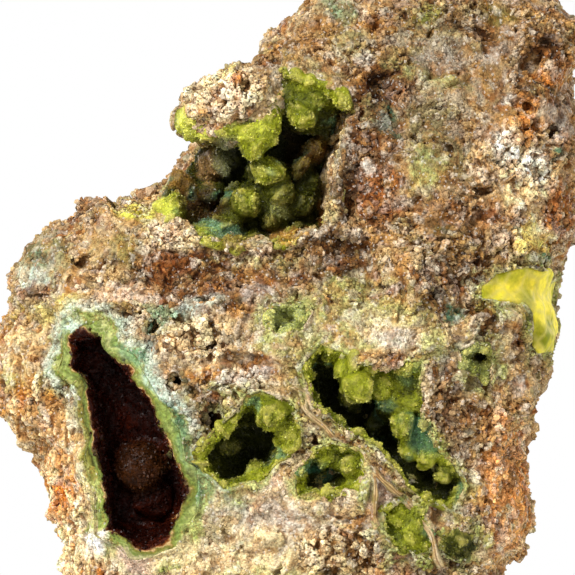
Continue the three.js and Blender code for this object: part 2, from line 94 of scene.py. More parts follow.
# ---- Colours -----------------------------------------------------------------------------------
PALETTE = {  # sRGB
    "sand": (0.74, 0.62, 0.42), "tan": (0.60, 0.46, 0.28), "bone": (0.79, 0.71, 0.55),
    "cream": (0.90, 0.82, 0.63), "ochre": (0.74, 0.53, 0.26), "orange": (0.80, 0.47, 0.15),
    "rust": (0.50, 0.27, 0.09), "umber": (0.22, 0.12, 0.04), "chestnut": (0.40, 0.23, 0.09),
    "plum": (0.34, 0.26, 0.19), "lilac": (0.70, 0.65, 0.60), "blush": (0.83, 0.72, 0.63),
    "chalk": (0.92, 0.89, 0.82), "olive": (0.46, 0.43, 0.18), "moss": (0.23, 0.24, 0.02),
    "lime": (0.52, 0.54, 0.10), "pistachio": (0.68, 0.70, 0.42), "sage": (0.56, 0.56, 0.38),
    "teal": (0.20, 0.40, 0.31), "sea": (0.44, 0.62, 0.48), "ice": (0.76, 0.84, 0.78),
    "yolk": (0.93, 0.85, 0.27), "pine": (0.15, 0.16, 0.01), "straw": (0.82, 0.76, 0.42),
    "grass": (0.35, 0.38, 0.06), "fern": (0.50, 0.57, 0.28), "maroon": (0.17, 0.04, 0.01),
    # glow is a pale yellow-green used as painted light, to make parts of a crust's lip and the left
    # ledge look lit.
    "leaf": (0.45, 0.50, 0.22), "glow": (0.78, 0.79, 0.30),
}

# Zones of the front: colour, x, z, half width, half height, tilt in degrees and strength.
ZONES = (
    ("tan", 18, 56, 16, 18, 0, 0.6), ("cream", -6, 8, 12, 7, 0, 0.45),
    ("cream", 25.4, 48.4, 3.6, 4.4, 0, 0.55), ("sage", 16.4, 53, 2.6, 6.4, 30, 0.5),
    ("chestnut", 9.4, 56.6, 2.8, 6.2, -14, 0.9), ("rust", 12.2, 59, 1.6, 2.8, 0, 0.85),
    ("umber", 9.8, 57.8, 2.0, 3.4, -14, 0.7), ("chestnut", 27, 60.6, 3.6, 2.4, 20, 0.7),
    ("chestnut", 17, 46.2, 3.4, 1.6, 20, 0.6), ("rust", 22.4, 44.6, 3.6, 1.6, -10, 0.5),
    ("plum", 21, 37.4, 3.2, 1.4, 10, 0.6),
    # The glow zone on the left ledge is partly its real yellow-green and partly painted light that
    # makes the ledge look lit.
    ("rust", 7.4, 62.4, 2.4, 1.6, 0, 0.75), ("glow", -16.4, 44.9, 2.2, 1.1, 0, 0.9),
    ("pistachio", -14, 42.5, 2.4, 1.5, -30, 0.8), ("sage", -8.6, 10.4, 2.4, 1.8, 0, 0.6),
    ("pistachio", -3.4, 8.6, 3.2, 1.4, 20, 0.6), ("moss", -9.4, 4.6, 2.6, 1.0, 0, 0.5),
    ("ochre", -27, 26, 5.5, 8, 10, 0.8), ("sand", -28, 30, 4, 3.5, 0, 0.7),
    ("orange", -25.5, 15, 2.2, 9, 8, 0.6), ("straw", -24, 34.5, 6, 1.6, 8, 0.7),
    ("sand", -26, 20, 4, 4, -30, 0.6), ("pistachio", -29.8, 26.6, 1.4, 1.6, 0, 0.8),
    ("orange", -24.8, 14.2, 1.0, 1.4, 0, 0.9), ("cream", -23.8, 8, 1.8, 5, 0, 0.6),
    ("sage", -26, 39.8, 2.6, 2.2, 0, 0.8), ("teal", -27.4, 39.6, 1.3, 0.8, 0, 0.8),
    ("ice", -28.2, 38.1, 1.4, 1.0, 0, 0.8), ("olive", -18, 40.8, 2.6, 2.2, 30, 0.7),
    ("rust", -13, 39, 2.8, 1.8, -15, 0.9), ("chestnut", -10.5, 37.3, 5.6, 3.2, -12, 0.9),
    ("tan", -21.3, 44.6, 1.0, 2.2, 0, 0.6), ("umber", -17.2, 37.3, 1.9, 0.8, 0, 0.7),
    ("ochre", -20.8, 34.8, 2, 1.2, 0, 0.8), ("blush", -17.4, 36, 3.4, 1.2, 0, 0.8),
    ("pine", -18.2, 33.6, 1.0, 0.7, 0, 0.9), ("sea", -13.2, 33.8, 1.8, 1.1, 0, 0.9),
    ("ice", -10, 34.4, 2.2, 1.1, 20, 0.7), ("teal", -14.7, 32.1, 1.4, 1.1, 0, 0.9),
    ("bone", -10.2, 30.8, 3.3, 2.4, 0, 0.9), ("bone", -4.8, 31.3, 2.4, 1.9, 0, 0.8),
    ("chalk", -5.4, 26.4, 2.5, 1.5, 0, 0.9), ("teal", -12.3, 27, 1.0, 1.2, 0, 0.8),
    ("plum", -10.4, 25.6, 1.4, 0.9, 0, 0.8), ("pistachio", -7.2, 25.4, 3, 0.8, -35, 0.7),
    ("orange", -6.2, 23.4, 1.2, 1.0, 0, 0.8), ("plum", -8.7, 22.6, 1.9, 2.2, 0, 0.8),
    ("sage", -11.5, 24, 1.4, 1.6, 0, 0.7), ("cream", -12.4, 42.2, 3.4, 1.5, 0, 0.9),
    ("blush", -13.8, 43, 2, 1, 0, 0.7), ("cream", -7, 58.6, 5.4, 2.8, 0, 0.9),
    ("blush", -6.6, 57.4, 2.2, 1.6, 0, 0.7), ("orange", -5.6, 59.8, 1.2, 0.9, 0, 0.9),
    ("straw", -6.5, 60.9, 1.2, 1, 0, 0.9), ("tan", 4, 63, 6, 3, 30, 0.8),
    ("ochre", 8, 63.5, 4, 4, 0, 0.5), ("umber", 9.8, 58.9, 1.5, 2.4, -10, 0.9),
    ("chestnut", 8, 50.6, 2.2, 6, 0, 0.95), ("umber", 6.2, 47.4, 1.4, 5, 0, 0.8),
    ("umber", 6, 41.2, 4.2, 2.2, -12, 0.8), ("rust", 10.5, 46.4, 2.4, 3, 0, 0.95),
    ("chestnut", 2, 38.6, 5, 2, -10, 0.8), ("teal", 10.6, 54.8, 1.3, 1.6, 0, 0.8),
    ("sage", 15, 63, 4.2, 3, 30, 0.6), ("lilac", 16, 61.2, 3, 1.8, 0, 0.5),
    ("sage", 7, 63, 2.6, 1.8, 0, 0.7), ("olive", 23, 66.8, 2.6, 1.1, 0, 0.7),
    ("tan", 25, 61.5, 3.5, 3.5, 0, 0.6), ("pistachio", 15.5, 59.4, 4.4, 0.9, -20, 0.6),
    ("bone", 17.8, 56.8, 3.8, 0.9, -35, 0.7), ("lime", 14.6, 67, 1.2, 1.2, 0, 0.8),
    ("sea", 6.3, 66.8, 2.4, 1.2, -20, 0.7), ("chalk", 8, 61.5, 1.1, 0.8, 0, 0.9),
    ("chalk", 24, 57, 0.7, 0.8, 0, 0.9), ("chalk", 8.8, 49.2, 0.7, 0.7, 0, 0.9),
    ("chestnut", 27.2, 57.6, 2.4, 1.0, 0, 0.7), ("orange", 28.9, 61, 1.8, 2.4, 0, 0.6),
    ("umber", 29, 62.6, 1.8, 1.8, 0, 0.9), ("orange", 27.6, 59.5, 2, 0.8, 0, 0.8),
    ("orange", 25.9, 55.7, 1.7, 1.5, 0, 0.7), ("umber", 27.1, 58.5, 2.3, 0.8, 0, 0.6),
    ("lilac", 29.5, 54.6, 1.7, 2.4, 0, 0.8), ("teal", 29.5, 51, 1.1, 0.9, 0, 0.9),
    ("chalk", 23.7, 52.2, 1.2, 1.8, 0, 0.7), ("chalk", 26.6, 50.3, 1.8, 1.9, 0, 0.7),
    ("rust", 29.8, 45, 1.7, 2.8, 0, 0.9), ("umber", 21.2, 47.2, 1.1, 0.7, 0, 0.7),
    ("pistachio", 14.8, 49.4, 1.8, 2.6, 0, 0.8), ("moss", 16.8, 43.1, 1, 1.2, 0, 0.7),
    ("moss", 14.2, 40.9, 1.4, 0.8, 0, 0.7), ("straw", 26.6, 42, 2.2, 2.2, 0, 0.8),
    ("teal", 27.4, 40.1, 1.5, 0.7, 0, 0.9), ("pine", 16, 35.7, 1.4, 1.3, 0, 0.9),
    ("teal", 17.9, 33.9, 1, 1.1, 0, 0.9), ("umber", 21.5, 33.8, 1.2, 1, 0, 0.8),
    ("rust", 24.9, 31, 1, 1.2, 0, 0.8), ("bone", 23.1, 29.5, 1.6, 2.4, 0, 0.8),
    ("plum", 17.4, 23.2, 1.9, 6, 0, 0.8), ("orange", 23.8, 15.6, 2.6, 8, 4, 0.75),
    ("sand", 23.4, 14, 1.8, 6, 4, 0.4), ("chestnut", 24.8, 18, 1.4, 4, 0, 0.4),
    ("tan", 20.5, 22, 2.4, 5, 0, 0.7),
    ("pistachio", 10, 34, 6, 1.5, -4, 0.7), ("lilac", -3.4, 35.2, 2.8, 1.5, -20, 0.7),
    ("pistachio", 6, 36.6, 3.6, 1.3, 8, 0.7), ("bone", -1, 12, 7, 4, 0, 0.8),
    ("lilac", -1.6, 11.4, 3.4, 2, 0, 0.7), ("cream", -4, 6.6, 9, 3.4, 0, 0.8),
    ("pistachio", -2, 4.4, 9, 1.5, 0, 0.6), ("blush", -1.5, 16.4, 1.3, 1.7, 0, 0.7),
    ("lilac", 12, 9, 3, 3, 0, 0.6), ("chalk", -16.4, 6.8, 1.6, 1.2, 0, 0.9),
    ("blush", -20.6, 8.4, 1, 1.2, 0, 0.9), ("lilac", 9.8, 14.6, 1.6, 2, 40, 0.6),
    ("ice", -6.8, 12.8, 2.4, 1.2, 0, 0.5), ("sand", 0.4, 25.3, 1.6, 4.5, -38, 0.7),
    ("sand", 22, 27, 3, 3, 0, 0.5), ("umber", 4, 5, 2.6, 0.8, 10, 0.5),
    ("moss", 17.5, 6.5, 3, 1.4, 20, 0.6), ("cream", 11.6, 31.6, 4.6, 2.4, 0, 0.6),
    ("chalk", 11.4, 31.2, 2.8, 1.2, 0, 0.6), ("pistachio", 15.8, 30.4, 1.5, 2.6, 0, 0.7),
    ("pistachio", 7.6, 31.2, 2.2, 1.0, -30, 0.7),
)

# Zone colours whose ground is soft, and those whose ground is crumbly.
SOFT = ("bone", "cream", "chalk", "lilac", "blush", "sage", "ice", "pistachio", "straw", "sand")
CRUMBLY = ("rust", "umber", "chestnut", "orange", "ochre", "plum")

# Where the rock creeps right over a crust's edge: x, z, half width and half height.
OVERGROWN = (
    (6.6, 47.6, 3.0, 8.0), (3.6, 41.6, 3.0, 1.7), (-3.4, 41.0, 1.6, 1.3), (-12.4, 42.4, 3.0, 1.6),
    (-9.4, 57.6, 2.6, 2.2),
    (10.6, 29.2, 3.0, 1.4), (15.6, 24.6, 1.6, 3.4), (0.4, 12.8, 3.2, 1.0),
)

# Where the green crusts are stained by the rock, laid out as the zones are. The glow entries are
# painted light: a pale yellow-green that makes parts of the lip and the left ledge look lit.
CRUST_STAINS = (
    ("chestnut", 6.0, 47.5, 2.0, 6.4, 0, 1.0), ("rust", 5.0, 44.0, 2.0, 2.2, 0, 0.9),
    ("blush", 5.6, 49.5, 1.0, 2.0, 10, 0.8), ("umber", 6.8, 54.8, 1.2, 1.4, 0, 0.9),
    ("ochre", 1.6, 42.0, 3.4, 0.9, 0, 0.8), ("chestnut", -6.5, 41.8, 2.2, 0.9, 0, 0.7),
    ("tan", -8.6, 50.0, 1.2, 2.2, 0, 0.8), ("umber", -9.5, 45.4, 3.0, 1.9, 0, 0.8),
    ("ochre", -12.0, 48.4, 1.8, 1.2, -30, 0.4), ("sage", -6.9, 51.0, 1.3, 2.4, 0, 0.8),
    ("sea", -7.2, 42.9, 1.8, 1.0, 0, 0.6), ("pistachio", -0.9, 44.9, 0.9, 0.9, 0, 0.8),
    # Painted light: these glow entries brighten parts of the lip that face down and fall in shade.
    ("glow", -10.4, 54.8, 2.2, 2.4, 0, 0.85), ("glow", -5.0, 53.6, 2.0, 1.0, 20, 0.4),
    ("glow", -14.6, 45.0, 2.4, 1.4, 0, 0.85), ("chestnut", 3.0, 41.6, 2.4, 0.8, 10, 0.8),
    ("umber", 0.6, 51.0, 1.0, 2.6, 20, 0.6), ("chestnut", 2.6, 51.4, 1.2, 1.6, 0, 0.5),
    ("teal", 14.4, 20.4, 2.6, 1.2, -45, 0.7), ("teal", 19.2, 13.2, 0.9, 1.6, 0, 0.7),
    ("teal", 2.1, 17.0, 1.4, 0.6, 0, 0.8), ("plum", 16.0, 24.4, 1.4, 4.0, 10, 0.7),
    ("blush", 7.8, 28.6, 0.7, 0.6, 0, 0.5), ("sand", 0.0, 13.4, 4.0, 0.7, 10, 0.5),
)

# Dents in the front: x, z, half width, half height and depth.
DENTS = (
    (-10.4, 25.6, 1.2, 0.8, 1.2), (-8.7, 22.6, 1.3, 2.0, 1.4), (9.8, 58.9, 1.5, 2.2, 1.5),
    (6.6, 47.4, 1.2, 4.6, 1.0), (6.0, 41.0, 4.0, 1.4, 0.9), (21.5, 33.8, 1.1, 0.9, 0.9),
    (28.6, 62.6, 1.7, 1.5, 1.2), (27.0, 54.9, 0.8, 0.9, 0.8), (4.5, 5.4, 2.2, 0.6, 0.6),
    (-17.2, 37.2, 1.8, 0.5, 0.7), (-26.8, 39.6, 1.2, 0.5, 0.6), (-12.4, 26.8, 0.8, 1.0, 1.0),
    (-18.2, 33.5, 0.8, 0.6, 0.8), (2.7, 19.6, 0.6, 0.5, 0.7), (21.3, 47.2, 1.0, 0.6, 0.8),
    (16.0, 35.9, 1.3, 1.0, 0.6), (8.4, 5.8, 0.6, 0.8, 0.7), (-11.6, 33.2, 1.0, 0.6, 0.5),
)

# Where the front is broken into small blocks: x, z, half width and half height.
BLOCKY = (
    (-7.4, 58.8, 5.2, 3.2), (-12.6, 42.2, 3.6, 1.8), (26.2, 51.0, 4.0, 3.6), (-5.2, 26.6, 3.0, 1.8),
    (-10.2, 31.2, 3.4, 2.2), (9.0, 61.5, 4.0, 2.2), (6.0, 7.5, 5.0, 2.6), (20.5, 40.0, 6.0, 2.4),
)

# Where the front is paler or darker: x, z, half width, half height and how much.
TONES = (
    (25.5, 47, 6, 10, 1.5), (24.4, 16, 4, 10, 1.55), (-23.5, 12, 4, 9, 1.3),
    (-6.7, 57, 5, 3.5, 1.3), (-2, 7, 10, 3.5, 1.15), (-9.6, 30.6, 4, 2.6, 1.15),
    (16, 61, 9, 8, 0.8), (13.6, 53, 6, 4.6, 0.82), (-15, 45, 4, 2.4, 1.2),
)

# The thin tan sheets that stand out of the front between the hollows: x and z along each.
SEPTA = (
    ((0.6, 26.2), (1.9, 24.2), (3.7, 21.3), (6.2, 18.8), (9.0, 16.6), (11.4, 14.6),
     (14.0, 11.9), (15.8, 9.0), (16.8, 6.4)),
    ((8.5, 17.4), (9.3, 15.6), (9.0, 13.0), (9.4, 10.6), (10.2, 8.6)),
)

# The mouth of the dark pocket, which its bands follow.
DARK_MOUTH = (
    (-24.0, 31.4), (-22.4, 32.5), (-20.7, 31.6), (-20.2, 29.9), (-17.6, 28.6), (-15.2, 24.2),
    (-13.4, 19.8), (-10.9, 14.4), (-12.2, 11.4), (-13.2, 9.0), (-16.4, 8.5), (-19.8, 9.9),
    (-20.5, 15.0), (-21.2, 20.2), (-22.0, 26.4), (-23.9, 28.0),
)

# The dark pocket: its long middle line, a point in front of it, where its lining lies deep, how
# far that takes, and the ovals of its bosses.
DARK_AXIS = ((-21.4, -14.5, 30.5), (-15.6, -14.5, 12.0))
DARK_FOCUS = (-17.0, -16.0, 19.0)
DARK_START, DARK_FADE = -12.0, 3.0
LOW_BOSS, HIGH_BOSS = (-14.6, 13.2, 1.0, 1.0), (-16.2, 16.8, 3.2, 3.4)

# How the green lip of the dark pocket is stained, laid out as the zones are.
LIP_STAINS = (
    ("olive", -22.4, 20.0, 1.7, 11.0, -6, 0.9), ("sea", -11.2, 17.4, 0.9, 6.0, 20, 0.6),
    ("pistachio", -9.4, 17.0, 1.2, 5.0, 22, 0.7), ("teal", -10.3, 17.6, 0.4, 5.0, 22, 0.6),
    ("teal", -13.0, 23.6, 0.6, 3.0, 25, 0.7),
    ("ice", -14.4, 27.0, 1.0, 3.4, 30, 0.8), ("sea", -16.6, 29.8, 2.4, 1.6, -30, 0.7),
    ("cream", -13.6, 7.4, 4.8, 1.4, 8, 0.9), ("blush", -16.3, 6.8, 1.5, 1.3, 0, 1.0),
    ("chalk", -20.6, 8.4, 1.4, 1.3, 0, 1.0), ("ice", -24.0, 32.2, 1.8, 1.6, 0, 0.8),
    ("pistachio", -9.6, 11.6, 1.5, 2.4, -20, 0.8), ("chestnut", -12.0, 13.0, 0.5, 3.6, -20, 0.8),
)

# Green crusts: a point in front of each hollow, the balls of each (x, z, radius), how far in it the
# painted shade deepens, and the colours of its near parts and of the painted shade far in its
# depths.
GREEN_CRUSTS = {
    "upper_crust": {
        "focus": (-3.0, -19.0, 50.0), "face": -13.5, "depth": 7.0, "cover": 1.6,
        "near": "lime", "far": "moss",
        "balls": (
            (0.4, 58.3, 1.5), (2.8, 57.6, 1.7), (1.4, 55.6, 1.8), (4.3, 56.0, 1.2),
            (4.3, 53.4, 1.3), (2.6, 51.6, 1.4), (1.2, 49.8, 1.2), (2.6, 47.9, 1.1),
            (-2.5, 49.4, 1.7), (-0.9, 47.0, 1.6), (-4.7, 45.9, 1.7), (1.2, 45.6, 1.3),
            (-1.9, 44.4, 1.4), (-7.2, 43.6, 1.2), (-7.6, 50.4, 1.2), (-8.8, 47.0, 1.3),
            (-12.6, 45.4, 1.3), (-15.4, 46.2, 1.1), (-3.4, 43.0, 1.2), (-5.9, 48.4, 1.0),
            (3.6, 46.0, 1.1), (3.7, 49.8, 1.2), (-4.6, 53.8, 1.2), (-9.6, 55.6, 1.1),
            (-6.6, 55.4, 1.1), (-3.2, 51.9, 1.0), (0.3, 52.9, 1.0), (-10.9, 44.0, 1.0),
            (-10.9, 56.2, 0.9), (-11.1, 54.9, 0.9), (-10.3, 53.7, 0.9), (-8.9, 53.3, 0.9),
            (-7.6, 53.9, 0.8), (-10.2, 57.6, 0.7),
        ),
    },
    "slot_crust": {
        "focus": (10.5, -21.0, 22.0), "face": -15.8, "depth": 4.0, "cover": 1.0,
        "near": "lime", "far": "moss",
        "balls": (
            (6.2, 28.2, 1.2), (7.5, 26.0, 1.7), (6.4, 24.2, 1.2), (10.2, 26.2, 1.6),
            (12.4, 26.4, 1.4), (11.2, 24.2, 1.7), (13.2, 24.0, 1.3), (9.8, 22.4, 1.2),
            (12.4, 21.6, 1.6), (13.1, 19.4, 1.3), (15.2, 18.4, 1.2), (16.8, 16.2, 1.1),
            (8.6, 24.0, 1.1), (4.4, 29.4, 0.9), (8.8, 27.7, 1.0), (14.4, 21.2, 1.0),
        ),
    },
    "left_bowl_crust": {
        "focus": (-4.0, -21.0, 19.6), "face": -16.0, "depth": 6.5, "cover": 0.8,
        "near": "lime", "far": "moss",
        "balls": (
            (-1.8, 22.8, 1.5), (0.0, 20.4, 1.1), (-3.4, 16.6, 1.1), (-7.0, 19.4, 1.0),
            (-3.5, 23.9, 1.1), (-0.3, 23.6, 1.0), (-5.0, 22.0, 0.9), (-8.4, 17.4, 0.9),
            (-6.6, 15.4, 0.9), (-1.0, 18.0, 0.9),
        ),
    },
    "right_bowl_crust": {
        "focus": (4.6, -21.0, 16.2), "face": -16.0, "depth": 4.5, "cover": 0.8,
        "near": "lime", "far": "moss",
        "balls": (
            (6.4, 17.0, 1.1), (4.0, 17.8, 1.0), (7.4, 15.4, 0.9), (5.4, 18.5, 0.9),
            (2.2, 14.6, 0.7), (4.8, 14.9, 0.7), (7.2, 17.6, 0.8),
        ),
    },
    "small_pocket_crust": {
        "focus": (0.2, -21.0, 33.4), "face": -16.0, "depth": 4.0, "cover": 0.5,
        "near": "pistachio", "far": "olive",
        "balls": ((1.4, 32.6, 0.7), (-1.6, 33.6, 0.5), (0.9, 34.2, 0.5)),
    },
    "pit_crust": {
        "focus": (20.0, -19.0, 28.9), "face": -15.0, "depth": 4.0, "cover": 0.5,
        "near": "pistachio", "far": "olive",
        "balls": ((18.9, 27.8, 0.7), (20.6, 28.0, 0.6), (19.2, 29.6, 0.6)),
    },
    "lower_patch_crust": {
        "focus": (12.6, -21.0, 11.4), "face": -16.5, "depth": 3.0, "cover": 1.2,
        "near": "lime", "far": "grass",
        "balls": (
            (11.6, 12.4, 0.9), (13.4, 12.2, 0.8), (12.2, 10.6, 0.9), (14.0, 10.6, 0.7),
            (11.2, 9.6, 0.7), (13.4, 9.2, 0.7), (10.8, 11.2, 0.6),
        ),
    },
    "lower_edge_crust": {
        "focus": (17.4, -20.0, 10.6), "face": -15.5, "depth": 3.0, "cover": 1.2,
        "near": "grass", "far": "moss",
        "balls": ((16.8, 10.9, 0.8), (18.0, 9.8, 0.7), (18.2, 11.0, 0.6), (16.9, 9.6, 0.6)),
    },
}


def linear(srgb):
    """A colour as the shaders take it, from its sRGB values."""
    return tuple(c / 12.92 if c < 0.04045 else ((c + 0.055) / 1.055) ** 2.4 for c in srgb)


def paint(name):
    """A palette colour, linear."""
    return np.array(linear(PALETTE[name]))


def socket_colour(name):
    """A palette colour as a colour socket takes it."""
    return (*linear(PALETTE[name]), 1.0)


# ---- Noise and shapes over points, in millimetres ----------------------------------------------
STRIDES = np.array((374761393, 668265263, 1274126177), dtype=np.uint32)


def scrambled(keys):
    """Well mixed bits from whole numbers that stand for lattice cells."""
    keys = (keys ^ (keys >> np.uint32(13))) * np.uint32(1103515245)
    keys = (keys ^ (keys >> np.uint32(15))) * np.uint32(2246822519)
    return keys ^ (keys >> np.uint32(16))


def cell_keys(scaled, seed):
    """The whole number of each point's lattice cell along each axis, and where it lies in it."""
    base = np.floor(scaled)
    keys = base.astype(np.int32).view(np.uint32) * STRIDES
    keys[:, 0] += np.uint32(seed * 974634757 & 0xFFFFFFFF)
    return keys.T, (scaled - base).T


def smoothstep(low, high, values):
    """0 at low, 1 at high and smooth between them; low may be the larger."""
    share = np.clip((values - low) / (high - low), 0, 1)
    return share * share * (3 - 2 * share)


def noise(points, size, seed=0):
    """Smooth noise from -1 to 1 with lumps of about that size, which may differ by axis."""
    scaled = (points / size + 0.37 * seed).astype(np.float32)
    (i, j, k), (x, y, z) = cell_keys(scaled, seed)
    x, y, z = (share * share * (3 - 2 * share) for share in (x, y, z))

    def row(first, second):
        start = scrambled(i + first + second).astype(np.float32)
        stop = scrambled(i + STRIDES[0] + first + second).astype(np.float32)
        return start + (stop - start) * x

    near = row(j, k)
    near += (row(j + STRIDES[1], k) - near) * y
    far = row(j, k + STRIDES[2])
    far += (row(j + STRIDES[1], k + STRIDES[2]) - far) * y
    return ((near + (far - near) * z) * (2 / 4294967295) - 1).astype(float)


def fractal(points, size, octaves, seed=0, roughness=0.55):
    """Noise of several sizes, each half the last, kept near -1 to 1."""
    total, share, most = np.zeros(len(points)), 1.0, 0.0
    for octave in range(octaves):
        total += share * noise(points, np.asarray(size) / 2 ** octave, seed + 17 * octave)
        most += share
        share *= roughness
    return total / most


def clouds(points, low, high, *kind):
    """Cloudy patches: 0 where fractal noise of a kind is under low, and 1 where it is over high."""
    return smoothstep(low, high, fractal(points, *kind))


def knobs(points, size, seed=0):
    """Packed knobs of about that size: the distance to the nearest knob's middle, as a share of
    size, and a number from 0 to 1 that is the knob's own."""
    (i, j, k), (x, y, z) = cell_keys((points / size).astype(np.float32), seed)
    nearest = np.full(len(points), 9.0, dtype=np.float32)
    chosen = np.zeros(len(points), dtype=np.uint32)
    ten_bits, scale = np.uint32(1023), np.float32(0.7 / 1023)
    for a, b, c in np.ndindex(3, 3, 3):
        shift = (np.array((a, b, c)) - 1).astype(np.int32).view(np.uint32) * STRIDES
        bits = scrambled(i + j + k + shift.sum(dtype=np.uint32))
        off_x = (bits & ten_bits) * scale + np.float32(a - 0.85) - x
        off_y = (bits >> np.uint32(10) & ten_bits) * scale + np.float32(b - 0.85) - y
        off_z = (bits >> np.uint32(20) & ten_bits) * scale + np.float32(c - 0.85) - z
        distance = off_x * off_x + off_y * off_y + off_z * off_z
        closer = distance < nearest
        nearest[closer] = distance[closer]
        chosen[closer] = bits[closer]
    own = scrambled(chosen + np.uint32(77)) / 4294967295.0
    return np.sqrt(nearest).astype(float), own


def oval(points, x, z, wide, high):
    """How far points lie from an oval's middle seen from the front, as a share of its size."""
    return np.hypot((points[:, 0] - x) / wide, (points[:, 2] - z) / high)


def dome(distance, radius=0.7):
    """A knob's height, 0 to 1, at a distance from its middle."""
    return np.sqrt(np.clip(1 - (distance / radius) ** 2, 0, 1))


def line_distance(points, line, closed=False):
    """How far points lie from a line of (x, z) corners, seen from the front."""
    flat = points[:, [0, 2]]
    corners = np.array(line, dtype=float)
    ends = np.roll(corners, -1, axis=0)
    if not closed:
        corners, ends = corners[:-1], ends[:-1]
    nearest = np.full(len(points), 99.0)
    for start, end in zip(corners, ends):
        edge = end - start
        share = np.clip(((flat - start) @ edge) / (edge @ edge), 0, 1)
        off = flat - start - share[:, None] * edge
        nearest = np.minimum(nearest, np.linalg.norm(off, axis=1))
    return nearest


def mouth_distance(points, mouth):
    """Distance to a mouth's outline seen from the front, negative inside it."""
    x, z = points[:, 0], points[:, 2]
    inside = np.zeros(len(points), dtype=bool)
    for (x0, z0), (x1, z1) in zip(mouth, mouth[1:] + mouth[:1]):
        crosses = (z0 > z) != (z1 > z)
        inside ^= crosses & (x < x0 + (z - z0) * (x1 - x0) / ((z1 - z0) or 1e-9))
    reach = line_distance(points, mouth, closed=True)
    return np.where(inside, -reach, reach)


def wander(points):
    """Points shifted sideways by a smooth drift, so that straight edges turn ragged. Every piece
    shares it, so that what meets still meets."""
    flat = points * (1.0, 0.35, 1.0)
    drift = np.stack([0.6 * noise(flat, 3.1, seed) + 0.28 * noise(flat, 1.35, seed + 1)
                      for seed in (301, 311)], axis=1)
    drift *= smoothstep(0.2, 4.0, points[:, 2])[:, None]
    moved = points.copy()
    moved[:, 0] += drift[:, 0]
    moved[:, 2] += drift[:, 1]
    return moved


def coat(points, name):
    """A palette colour at every point."""
    return np.tile(paint(name), (len(points), 1))


def blend(colours, other, weight):
    """Colours moved towards another colour, or a row of them, by a weight at each point."""
    return colours + (other - colours) * np.clip(weight, 0, 1)[:, None]


def painted(colours, layers):
    """Colours with layers laid over them in order, each a palette colour and its weight."""
    for name, weight in layers:
        colours = blend(colours, paint(name), weight)
    return colours


# ---- Meshes ------------------------------------------------------------------------------------
DOUBLES = 0.001  # vertices this near are one, in mm


def new_piece(name, mesh):
    piece = bpy.data.objects.new(name, mesh)
    bpy.context.scene.collection.objects.link(piece)
    return piece


def solid_copy(node, name):
    """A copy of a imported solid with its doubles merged."""
    mesh = frame["nodes"][node].data.copy()
    mesh.name = name
    mesh.materials.clear()
    shell = bmesh.new()
    shell.from_mesh(mesh)
    bmesh.ops.remove_doubles(shell, verts=shell.verts, dist=DOUBLES * MM)
    shell.to_mesh(mesh)
    shell.free()
    return new_piece(name, mesh)


def made_plain(piece):
    """Turns the piece's modifiers into plain mesh."""
    depsgraph = bpy.context.evaluated_depsgraph_get()
    mesh = bpy.data.meshes.new_from_object(piece.evaluated_get(depsgraph))
    old = piece.data
    piece.modifiers.clear()
    piece.data = mesh
    bpy.data.meshes.remove(old)
    mesh.name = piece.name
    return piece


def join_meshes(piece, others):
    """Adds the meshes of other pieces to a piece's, and removes those pieces."""
    both = bmesh.new()
    both.from_mesh(piece.data)
    for other in others:
        both.from_mesh(other.data)
    both.to_mesh(piece.data)
    both.free()
    for other in others:
        bpy.data.objects.remove(other)


# Voxel size in millimetres and rounds of softening.
GROUND_MESH, BASE_MESH, VEIN_MESH = (0.8, 2), (0.5, 1), (0.3, 5)
ROCK_SOFTENING, CRUST_SOFTENING, DARK_SOFTENING = 2, 12, 14


def add_remesh(piece, voxel, softening):
    """An even fine mesh of the piece, with its facets smoothed away."""
    remesh = piece.modifiers.new("Remesh", "REMESH")
    remesh.mode = "VOXEL"
    remesh.voxel_size = voxel * MM
    smooth = piece.modifiers.new("Smooth", "SMOOTH")
    smooth.factor = 0.5
    smooth.iterations = softening


def gathered(items, key, width=1, kind=np.float32):
    """One property of all of a mesh's items."""
    values = np.empty(len(items) * width, dtype=kind)
    items.foreach_get(key, values)
    return values


def remeshed(node, name, voxel, softening):
    """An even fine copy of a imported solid."""
    piece = solid_copy(node, name)
    add_remesh(piece, voxel, softening)
    return made_plain(piece)


def places(mesh):
    """The vertices in millimetres."""
    return gathered(mesh.vertices, "co", 3).reshape(-1, 3).astype(float) / MM


def set_places(mesh, points):
    mesh.vertices.foreach_set("co", (points * MM).astype(np.float32).ravel())
    mesh.update()


def normals(mesh):
    return gathered(mesh.vertex_normals, "vector", 3).reshape(-1, 3).astype(float)


def read_value(mesh, name):
    return gathered(mesh.attributes[name].data, "value").astype(float)


def set_value(mesh, name, values):
    layer = mesh.attributes.get(name) or mesh.attributes.new(name, "FLOAT", "POINT")
    layer.data.foreach_set("value", np.ascontiguousarray(values, dtype=np.float32))


def set_colour(mesh, name, colours):
    layer = mesh.attributes.get(name) or mesh.attributes.new(name, "FLOAT_COLOR", "POINT")
    rgba = np.ones((len(colours), 4), dtype=np.float32)
    rgba[:, :3] = np.clip(colours, 0, 1)
    layer.data.foreach_set("color", rgba.ravel())


def neighbour_mean(mesh, values, rounds):
    """Values or places averaged with their neighbours' a number of times."""
    edges = gathered(mesh.edges, "vertices", 2, np.int32)
    ends = edges.reshape(-1, 2)
    count = np.bincount(edges, minlength=len(values)).clip(1)
    for _ in range(rounds):
        total = np.stack([
            np.bincount(ends[:, 0], values[ends[:, 1], n], len(values))
            + np.bincount(ends[:, 1], values[ends[:, 0], n], len(values))
            for n in range(values.shape[1])
        ], axis=1)
        values = 0.5 * values + 0.5 * total / count[:, None]
    return values


def bulge(mesh, rounds):
    """How far each vertex stands out of the mean surface around it, in millimetres."""
    points = places(mesh)
    return np.einsum("ij,ij->i", points - neighbour_mean(mesh, points, rounds), normals(mesh))


def near_box(points, node, reach):
    """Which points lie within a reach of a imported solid's box."""
    low, high = (np.array(corner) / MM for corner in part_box(node))
    return np.all((points > low - reach) & (points < high + reach), axis=1)


